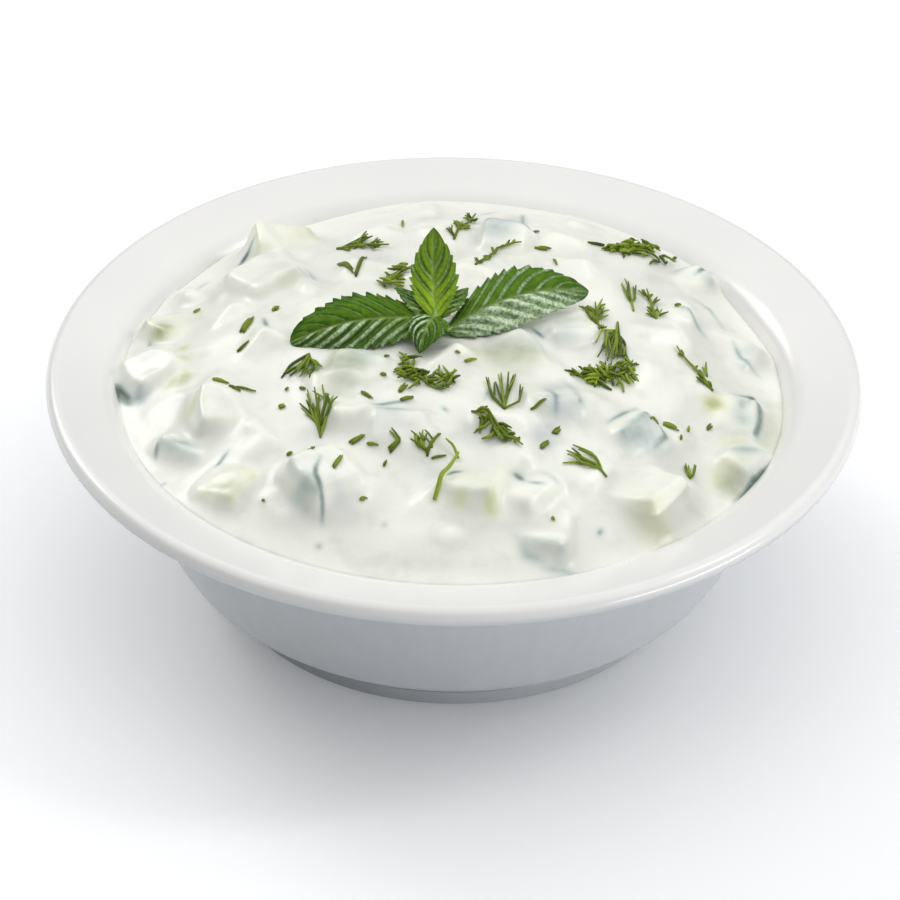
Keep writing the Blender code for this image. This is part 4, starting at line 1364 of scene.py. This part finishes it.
def sheet_faces(rows, columns):
    """Faces of a thin closed sheet: its upper grid of points, its lower one, and the border."""
    count = rows * columns
    faces = []
    for row in range(rows - 1):
        for column in range(columns - 1):
            here = row * columns + column
            below = here + columns
            faces.append((here, here + 1, below + 1, below))
            faces.append((count + here, count + below, count + below + 1, count + here + 1))
    border = [row * columns for row in range(rows)]
    border += [(rows - 1) * columns + column for column in range(1, columns)]
    border += [row * columns + columns - 1 for row in range(rows - 2, -1, -1)]
    border += list(range(columns - 2, 0, -1))
    for here, after in zip(border, border[1:] + border[:1]):
        faces.append((here, after, count + after, count + here))
    return faces


def add_leaf(maker, leaf):
    """A leaf with an upper and a lower face."""
    upper = leaf.points()
    lower = upper - np.array(leaf.normal) * LEAF_THICK
    points = np.concatenate((upper.reshape(-1, 3), lower.reshape(-1, 3)))
    marks = {mark: np.tile(values.reshape(-1), 2) for mark, values in leaf.marks().items()}
    maker.add(points, sheet_faces(*leaf.share.shape), **marks)


def young_share(name):
    """How much lighter and yellower a leaf is towards its foot."""
    return 0.85 if name in ("back", "inner_left", "inner_right") else 0.12


def rib_strength(name, across):
    """How high the ribs stand on each half of a leaf."""
    if name == "left":
        return np.where(across < 0, 1.1, 0.35)
    if name == "right":
        return np.where(across > 0, 1.2, 0.7)
    return np.ones(across.shape)


def painted_sheen_of(name, share, across, to_vein):
    """Where the painted silvery sheen lies: on the ribs of a near half, or along the veins."""
    ribs = smooth_step(0.45, 0.85, to_vein)
    lines = np.exp(-(((to_vein - 0.13) / 0.1) ** 2))
    near = smooth_step(-0.05, 0.15, across)
    if name == "left":
        near = smooth_step(-0.05, 0.15, -across)
        return near * ribs * (0.6 + 0.6 * smooth_step(0.3, 0.7, share)) + 0.05 * lines
    if name == "right":
        return near * (0.6 + 0.65 * ribs) + (1 - near) * lines * 0.8
    if name == "front":
        return near * ribs * 1.1 + (1 - near) * lines * 0.5
    return 0.3 * lines + (0.35 * ribs if name.startswith("inner") else 0.0)


def mint_mesh(length_steps, width_steps):
    """The whole sprig: its leaves, the short stalks that carry them, and the stem."""
    maker = MeshMaker()
    for seed, (name, sizes) in enumerate(LEAVES.items()):
        add_leaf(maker, Leaf(name, sizes, seed, length_steps, width_steps))
        foot = HUB + Vector(sizes[0]) * MM
        reach = foot.lerp(HUB + Vector(sizes[1]) * MM, PETIOLE_REACH)
        line = [HUB - Vector((0, 0, 1.5)) * MM, HUB.lerp(foot, 0.6), foot, reach]
        radii = [STEM_RADIUS * 0.8, PETIOLE_RADIUS, PETIOLE_RADIUS * 0.85, PETIOLE_RADIUS * 0.4]
        add_tube(maker, line, radii, 10, vein=0.6, raised=0.0, crease=0.0, young=0.4, bloom=0.3)
    axis = HUB - STEM_FOOT
    line = [STEM_FOOT + axis * float(share) for share in np.linspace(0, 1, 9)]
    radii = [STEM_RADIUS] * 7 + [HUB_RADIUS * 0.95, HUB_RADIUS * 0.5]
    add_tube(maker, line, radii, 12, vein=0.35, raised=0.0, crease=0.0, young=0.5, bloom=0.2)
    return maker.mesh("mint", outwards=True)


def add_tube(maker, line, radii, sides, **marks):
    """A closed tube along a line of points, with a radius at each."""
    rings = len(line)
    points = []
    before = None
    for index, (point, radius) in enumerate(zip(line, radii)):
        ahead = line[min(index + 1, rings - 1)] - line[max(index - 1, 0)]
        ahead = ahead.normalized() if ahead.length > 1e-9 else Vector((0, 0, 1))
        if before is None:
            before = ahead.orthogonal().normalized()
        across = (before - ahead * before.dot(ahead)).normalized()
        before = across
        other = ahead.cross(across)
        for step in range(sides):
            angle = 2 * math.pi * step / sides
            points.append(point + (across * math.cos(angle) + other * math.sin(angle)) * radius)
    faces = []
    for ring in range(rings - 1):
        faces += ring_faces(ring * sides, (ring + 1) * sides, sides)
    faces.append(tuple(range(sides)))
    faces.append(tuple((rings - 1) * sides + step for step in reversed(range(sides))))
    flat = {mark: [value] * len(points) for mark, value in marks.items()}
    maker.add(points, faces, **flat)


# ---------------------------------------------------------------- dill


class DillStrewer:
    """Lays dill threads on the yogurt and joins them into one mesh."""

    def __init__(self, relief):
        self.relief = relief
        self.maker = MeshMaker()
        self.rng = random.Random(12)

    def thread(self, places, radius=THREAD_RADIUS, lift=0.4 * MM, tone=None, foot_lift=0.0):
        """One thread through flat places, rising a little from its foot to its tip."""
        steps = max(4, int(run_length(places) / THREAD_STEP))
        line = []
        radii = []
        for step in range(steps + 1):
            share = step / steps
            place = along_places(places, share)
            height = float(self.relief.surface(place.x, place.y))
            rise = radius * 0.7 + foot_lift + lift * share + 0.12 * MM * math.sin(4 * share)
            line.append(Vector((place.x, place.y, height + rise)))
            radii.append(radius * (1 - 0.4 * share**2) * (0.75 + 0.25 * math.sin(3 * share)))
        tone = self.rng.random() if tone is None else tone
        add_tube(self.maker, line, radii, 6, tone=tone)

    def frond(self, spread, count, places):
        """A stem with uneven side branches that carry a few threads each."""
        length = run_length(places)
        self.thread(places, THREAD_RADIUS * 1.1, 0.5 * MM, self.rng.uniform(0.3, 0.7))
        for index in range(count):
            share = 0.05 + 0.9 * (index + self.rng.uniform(-0.3, 0.3)) / count
            root = along_places(places, share)
            ahead = along_places(places, min(share + 0.05, 1.0)) - root
            heading = math.atan2(ahead.y, ahead.x) if ahead.length > 0 else 0.0
            for side in (-1, 1):
                if self.rng.random() < 0.3:
                    continue
                angle = heading + side * math.radians(self.rng.uniform(18, 50))
                reach = spread / 2 / math.sin(abs(angle - heading)) * self.rng.uniform(0.5, 1.3)
                reach = min(reach, 0.55 * length) * (1 - 0.35 * share)
                self.branch(root, angle, reach, 0.35 * MM * share)

    def branch(self, root, angle, reach, foot_lift):
        """A side branch with one or two forks."""
        tip = root + Vector((math.cos(angle), math.sin(angle))) * reach
        self.thread([root, tip], THREAD_RADIUS * 0.95, self.rng.uniform(0.1, 0.9) * MM, None, foot_lift)
        for _ in range(2 if reach > 1.4 * MM else 1):
            fork = root.lerp(tip, self.rng.uniform(0.25, 0.7))
            turn = angle + self.rng.choice((-1, 1)) * math.radians(self.rng.uniform(18, 40))
            end = fork + Vector((math.cos(turn), math.sin(turn))) * reach * self.rng.uniform(0.4, 0.65)
            self.thread([fork, end], THREAD_RADIUS * 0.8, self.rng.uniform(0.2, 1.0) * MM, None, foot_lift)

    def fan(self, spread, count, places):
        """Threads that open from one foot."""
        foot, tip = places[0], places[-1]
        run = tip - foot
        across = Vector((-run.y, run.x)).normalized()
        for index in range(count):
            share = (index + self.rng.uniform(0.2, 0.8)) / count - 0.5
            end = foot + run * self.rng.uniform(0.55, 1.0) + across * spread * share
            middle = foot.lerp(end, 0.5) + across * spread * self.rng.uniform(-0.12, 0.12)
            root = foot.lerp(tip, self.rng.uniform(0.0, 0.3))
            self.thread([root, middle, end], THREAD_RADIUS, self.rng.uniform(0.0, 1.2) * MM)
            if self.rng.random() < 0.6:
                fork = middle.lerp(end, 0.2)
                turn = fork + run * 0.3 + across * spread * self.rng.uniform(-0.3, 0.3)
                self.thread([fork, turn], THREAD_RADIUS * 0.8, 0.6 * MM, None, 0.3 * MM)

    def clump(self, spread, count, places):
        """A loose heap of short bent threads along a line."""
        for _ in range(count):
            root = along_places(places, self.rng.random())
            root = root + Vector((self.rng.gauss(0, spread / 5), self.rng.gauss(0, spread / 5)))
            angle = self.rng.choice((0.5, 2.2, -0.9, -2.4)) + self.rng.gauss(0, 0.35)
            reach = self.rng.uniform(1.2, 3.6) * MM
            middle = root + polar(math.degrees(angle), reach * 0.5).to_2d()
            bent = math.degrees(angle) + self.rng.uniform(-35, 35)
            tip = middle + polar(bent, reach * 0.5).to_2d()
            radius = THREAD_RADIUS * self.rng.uniform(0.85, 1.3)
            rise = self.rng.uniform(-0.3, 0.5) * MM
            self.thread([root, middle, tip], radius, rise, None, self.rng.uniform(0.0, 0.9) * MM)

    def bit(self, spread, count, places):
        """A snipped piece: a few short threads that cross a little."""
        run = places[-1] - places[0]
        across = Vector((-run.y, run.x)).normalized()
        tone = self.rng.uniform(0.1, 0.6)
        for index in range(count):
            shift = across * (spread * ((index + 0.5) / count - 0.5))
            moved = [place + shift for place in places]
            moved[0] = moved[0] + run * self.rng.uniform(-0.1, 0.25)
            moved[-1] = moved[-1] - run * self.rng.uniform(-0.1, 0.35)
            moved[-1] = moved[-1] + across * self.rng.uniform(-0.35, 0.35) * MM
            self.thread(moved, THREAD_RADIUS, 0.2 * MM, tone + self.rng.uniform(0, 0.4))

    def stalk(self, spread, count, places):
        """One bare stem, thick and bright."""
        self.thread(places, spread * 0.85, 1.4 * MM, 0.95, 0.3 * MM)


def run_length(places):
    """Length of the line through these places."""
    return sum((after - before).length for before, after in zip(places, places[1:]))


def along_places(places, share):
    """The point at this share of the way along a line of flat places."""
    position = min(max(share, 0.0), 1.0) * (len(places) - 1)
    index = min(int(position), len(places) - 2)
    return places[index].lerp(places[index + 1], position - index)


def dill_mesh(relief):
    """All the chopped dill as one mesh."""
    strewer = DillStrewer(relief)
    for kind, spread, count, *places in DILL:
        places = [Vector(place) * MM for place in places]
        getattr(strewer, kind)(spread * MM, count, places)
    return strewer.maker.mesh("dill", outwards=True)


# ---------------------------------------------------------------- stage


def add_camera():
    """A long lens that looks down at the dip from the front."""
    remove_piece("camera")
    data = bpy.data.cameras.new("camera")
    data.lens = CAMERA_LENS
    data.sensor_width = SENSOR_WIDTH
    data.clip_end = 20
    camera = bpy.data.objects.new("camera", data)
    look = Matrix.Rotation(math.radians(90) - CAMERA_PITCH, 4, "X")
    camera.matrix_world = Matrix.Translation(CAMERA_PLACE) @ look @ Matrix.Rotation(CAMERA_ROLL, 4, "Z")
    bpy.context.scene.collection.objects.link(camera)
    bpy.context.scene.camera = camera


def add_light(name, place, aim, width, height, energy, colour):
    """A soft rectangular light that points from its place to its aim."""
    remove_piece(name)
    data = bpy.data.lights.new(name, "AREA")
    data.shape = "RECTANGLE"
    data.size = width
    data.size_y = height
    data.energy = energy
    data.color = colour
    light = bpy.data.objects.new(name, data)
    light.location = place
    light.rotation_euler = (Vector(aim) - Vector(place)).to_track_quat("-Z", "Y").to_euler()
    bpy.context.scene.collection.objects.link(light)


def add_floor(settings):
    """A wide floor just under the bowl's foot."""
    remove_piece("floor")
    bm = bmesh.new()
    bmesh.ops.create_grid(bm, x_segments=8, y_segments=8, size=settings.floor_size / 2)
    mesh = bpy.data.meshes.new("floor")
    bm.to_mesh(mesh)
    bm.free()
    mesh.materials.append(floor_material(settings))
    floor = bpy.data.objects.new("floor", mesh)
    floor.location.z = CAD_BOX[0][2] - 0.05 * MM
    bpy.context.scene.collection.objects.link(floor)


def set_world(settings):
    """Even light from all round."""
    world = bpy.data.worlds.get("studio") or bpy.data.worlds.new("studio")
    bpy.context.scene.world = world
    world.use_nodes = True
    background = world.node_tree.nodes["Background"]
    background.inputs["Color"].default_value = (*settings.air_colour, 1.0)
    background.inputs["Strength"].default_value = settings.air_strength


# ---------------------------------------------------------------- settings


def colour_property(name, description, default):
    return FloatVectorProperty(
        name=name, description=description, default=default, subtype="COLOR", min=0.0, max=1.0
    )


def length_property(name, description, default):
    return FloatProperty(name=name, description=description, default=default, unit="LENGTH")


def strength_property(name, description, default):
    return FloatProperty(name=name, description=description, default=default, min=0)


def roughness_property(description, default):
    return FloatProperty(
        name="Roughness", description=description, default=default, min=0, max=1, subtype="FACTOR"
    )


class BowlSettings(bpy.types.PropertyGroup):
    segments: IntProperty(name="Segments", description="Steps round the bowl", default=224, min=24)
    steps: IntProperty(name="Steps", description="Steps along each bend", default=9, min=3)
    glaze_colour: colour_property("Glaze", "Colour of the glaze", (0.82, 0.806, 0.787))
    glaze_shade: colour_property("Glaze shade", "Colour of its thicker clouds", (0.775, 0.76, 0.745))
    # Painted shade: the body and its streaks are a darker grey that stands in for the shade under the rim.
    body_colour: colour_property("Body", "Colour of the cooler glaze below", (0.445, 0.462, 0.482))
    body_streak: colour_property("Body streaks", "Its faint streaks", (0.43, 0.447, 0.467))
    roughness: roughness_property("Of the glaze", 0.2)


class DipSettings(bpy.types.PropertyGroup):
    fill: length_property("Fill", "Yogurt above the heap's plain shape", 1.1 * MM)
    rings: IntProperty(name="Rings", description="Rings of points over the dip", default=160, min=20)
    swell: length_property("Swell", "Height of broad swells", 0.5 * MM)
    ripple: length_property("Ripple", "Height of small ripples", 0.22 * MM)
    softness: length_property("Softness", "Rounding of the relief", 0.72 * MM)
    show_depth: length_property("Show depth", "Where a piece's colour fades to a third", 0.5 * MM)
    tint_softness: length_property("Tint softness", "Blurring of what shows through", 0.3 * MM)
    # The cool colour is painted shade in the hollows, and random tone elsewhere.
    cream_colour: colour_property("Cream", "Colour where the yogurt is thick", (0.875, 0.875, 0.792))
    hollow_shade_and_tone_colour: colour_property("Cool", "Colour where it is thinner", (0.785, 0.785, 0.72))
    veil_colour: colour_property("Veil", "Tint of cucumber deep below", (0.89, 0.90, 0.88))
    roughness: roughness_property("Of the yogurt", 0.3)


class CucumberSettings(bpy.types.PropertyGroup):
    skin_colour: colour_property("Skin", "Colour of the skin", (0.012, 0.035, 0.012))
    under_skin_colour: colour_property("Under skin", "Green just below the skin", (0.16, 0.32, 0.08))
    flesh_colour: colour_property("Flesh", "Colour of the flesh", (0.50, 0.62, 0.33))
    heart_colour: colour_property("Heart", "Colour towards the seeds", (0.60, 0.68, 0.40))
    film_colour: colour_property("Film", "Thin yogurt on the cuts", (0.80, 0.82, 0.76))
    roughness: roughness_property("Of wet cuts", 0.28)


class MintSettings(bpy.types.PropertyGroup):
    length_steps: IntProperty(name="Length steps", description="Along a leaf", default=150, min=10)
    width_steps: IntProperty(name="Width steps", description="Across a leaf", default=48, min=4)
    deep_colour: colour_property("Deep", "Darker green of the blade", (0.026, 0.080, 0.001))
    blade_colour: colour_property("Blade", "Green of the blade", (0.068, 0.158, 0.006))
    young_colour: colour_property("Young", "Green near the bud", (0.36, 0.54, 0.025))
    # Painted light on the raised ribs and painted shade in the creases.
    painted_rib_light_colour: colour_property("Ribs", "Green of the raised blade", (0.14, 0.29, 0.02))
    painted_crease_shade_colour: colour_property("Creases", "Beside the veins", (0.018, 0.055, 0.003))
    vein_colour: colour_property("Veins", "Colour of the veins", (0.36, 0.50, 0.15))
    # Painted sheen: the silvery highlight on the leaves' ribs and veins.
    painted_sheen_colour: colour_property("Bloom", "Silvery hairs", (0.60, 0.72, 0.52))
    roughness: roughness_property("Of the leaf", 0.3)


class DillSettings(bpy.types.PropertyGroup):
    dark_colour: colour_property("Dark", "Darkest needles", (0.035, 0.065, 0.004))
    bright_colour: colour_property("Bright", "Brightest needles", (0.29, 0.39, 0.03))
    roughness: roughness_property("Of the needles", 0.4)


class StageSettings(bpy.types.PropertyGroup):
    floor_size: length_property("Floor", "Width of the floor", 8.0)
    floor_colour: colour_property("Floor", "Colour of the floor", (0.93, 0.93, 0.93))
    floor_shade: colour_property("Floor shade", "Its faint clouds", (0.92, 0.92, 0.93))
    floor_glow: strength_property("Floor glow", "Strength of the light it gives off", 0.12)
    air_colour: colour_property("Air", "Colour of the light from all round", (0.86, 0.93, 1.0))
    air_strength: strength_property("Air strength", "Strength of that light", 0.17)
    key_energy: strength_property("Overhead light", "Its power in watts", 23.2)
    window_energy: strength_property("Window light", "Its power in watts", 3.6)
    low_energy: strength_property("Low strip", "Power of the strip below the rim, in watts", 5.4)
    strip_energy: strength_property("Side light", "Its power in watts", 2.0)


# ---------------------------------------------------------------- operators


class TZATZIKI_OT_bowl(bpy.types.Operator):
    """Turn the glazed bowl that stands for the part's plain one"""

    bl_idname = "tzatziki.bowl"
    bl_label = "Glazed Bowl"

    def execute(self, context):
        settings = context.scene.tzatziki_bowl
        mesh = bowl_mesh(settings.segments, settings.steps)
        add_piece("glazed_bowl", mesh, glaze_material(settings), ["bowl"])
        return {"FINISHED"}


class TZATZIKI_OT_dip(bpy.types.Operator):
    """Fill the bowl with heaped yogurt that drapes over the cucumber"""

    bl_idname = "tzatziki.dip"
    bl_label = "Yogurt"

    def execute(self, context):
        settings = context.scene.tzatziki_dip
        mesh = dip_mesh(DipRelief(settings), settings)
        add_piece("yogurt", mesh, yogurt_material(settings), ["tzatziki"])
        return {"FINISHED"}


class TZATZIKI_OT_cucumber(bpy.types.Operator):
    """Cut each cucumber piece, with its skin, in the place of its plain node"""

    bl_idname = "tzatziki.cucumber"
    bl_label = "Cucumber"

    def execute(self, context):
        material = cucumber_material(context.scene.tzatziki_cucumber)
        for seed, block in enumerate(cucumber_blocks()):
            mesh = block_mesh(block, seed)
            node = "cucumber_" + block.name
            add_piece("wet_" + node, mesh, material, [node])
        return {"FINISHED"}


class TZATZIKI_OT_mint(bpy.types.Operator):
    """Set the mint sprig, with toothed and puckered leaves"""

    bl_idname = "tzatziki.mint"
    bl_label = "Mint Sprig"

    def execute(self, context):
        settings = context.scene.tzatziki_mint
        mesh = mint_mesh(settings.length_steps, settings.width_steps)
        add_piece("mint_leaves", mesh, mint_material(settings), ["mint_sprig"])
        return {"FINISHED"}


class TZATZIKI_OT_dill(bpy.types.Operator):
    """Strew the chopped dill over the yogurt"""

    bl_idname = "tzatziki.dill"
    bl_label = "Dill"

    def execute(self, context):
        mesh = dill_mesh(DipRelief(context.scene.tzatziki_dip))
        add_piece("chopped_dill", mesh, dill_material(context.scene.tzatziki_dill))
        return {"FINISHED"}


class TZATZIKI_OT_stage(bpy.types.Operator):
    """Set the pale floor, the soft lights and the camera"""

    bl_idname = "tzatziki.stage"
    bl_label = "Stage"

    def execute(self, context):
        settings = context.scene.tzatziki_stage
        context.scene.view_settings.view_transform = "Standard"
        add_floor(settings)
        set_world(settings)
        for name, place, aim, width, height, power, colour in LIGHTS:
            add_light(name, place, aim, width, height, getattr(settings, power), colour)
        add_camera()
        return {"FINISHED"}


class TZATZIKI_PT_pieces(bpy.types.Panel):
    """Lists the pieces of the dip"""

    bl_idname = "TZATZIKI_PT_pieces"
    bl_label = "Tzatziki"
    bl_space_type = "VIEW_3D"
    bl_region_type = "UI"
    bl_category = "Tzatziki"

    def draw(self, context):
        for operator in OPERATORS:
            self.layout.operator(operator.bl_idname)


SETTINGS = {
    "tzatziki_bowl": BowlSettings,
    "tzatziki_dip": DipSettings,
    "tzatziki_cucumber": CucumberSettings,
    "tzatziki_mint": MintSettings,
    "tzatziki_dill": DillSettings,
    "tzatziki_stage": StageSettings,
}
OPERATORS = (
    TZATZIKI_OT_stage,
    TZATZIKI_OT_bowl,
    TZATZIKI_OT_dip,
    TZATZIKI_OT_cucumber,
    TZATZIKI_OT_mint,
    TZATZIKI_OT_dill,
)


def register():
    for group in SETTINGS.values():
        bpy.utils.register_class(group)
    for operator in OPERATORS:
        bpy.utils.register_class(operator)
    bpy.utils.register_class(TZATZIKI_PT_pieces)
    for name, group in SETTINGS.items():
        setattr(bpy.types.Scene, name, PointerProperty(type=group))


def unregister():
    for name in SETTINGS:
        delattr(bpy.types.Scene, name)
    bpy.utils.unregister_class(TZATZIKI_PT_pieces)
    for operator in reversed(OPERATORS):
        bpy.utils.unregister_class(operator)
    for group in reversed(SETTINGS.values()):
        bpy.utils.unregister_class(group)


def main():
    register()
    bpy.ops.tzatziki.stage()
    bpy.ops.tzatziki.bowl()
    bpy.ops.tzatziki.dip()
    bpy.ops.tzatziki.cucumber()
    bpy.ops.tzatziki.mint()
    bpy.ops.tzatziki.dill()


if __name__ == "__main__":
    main()
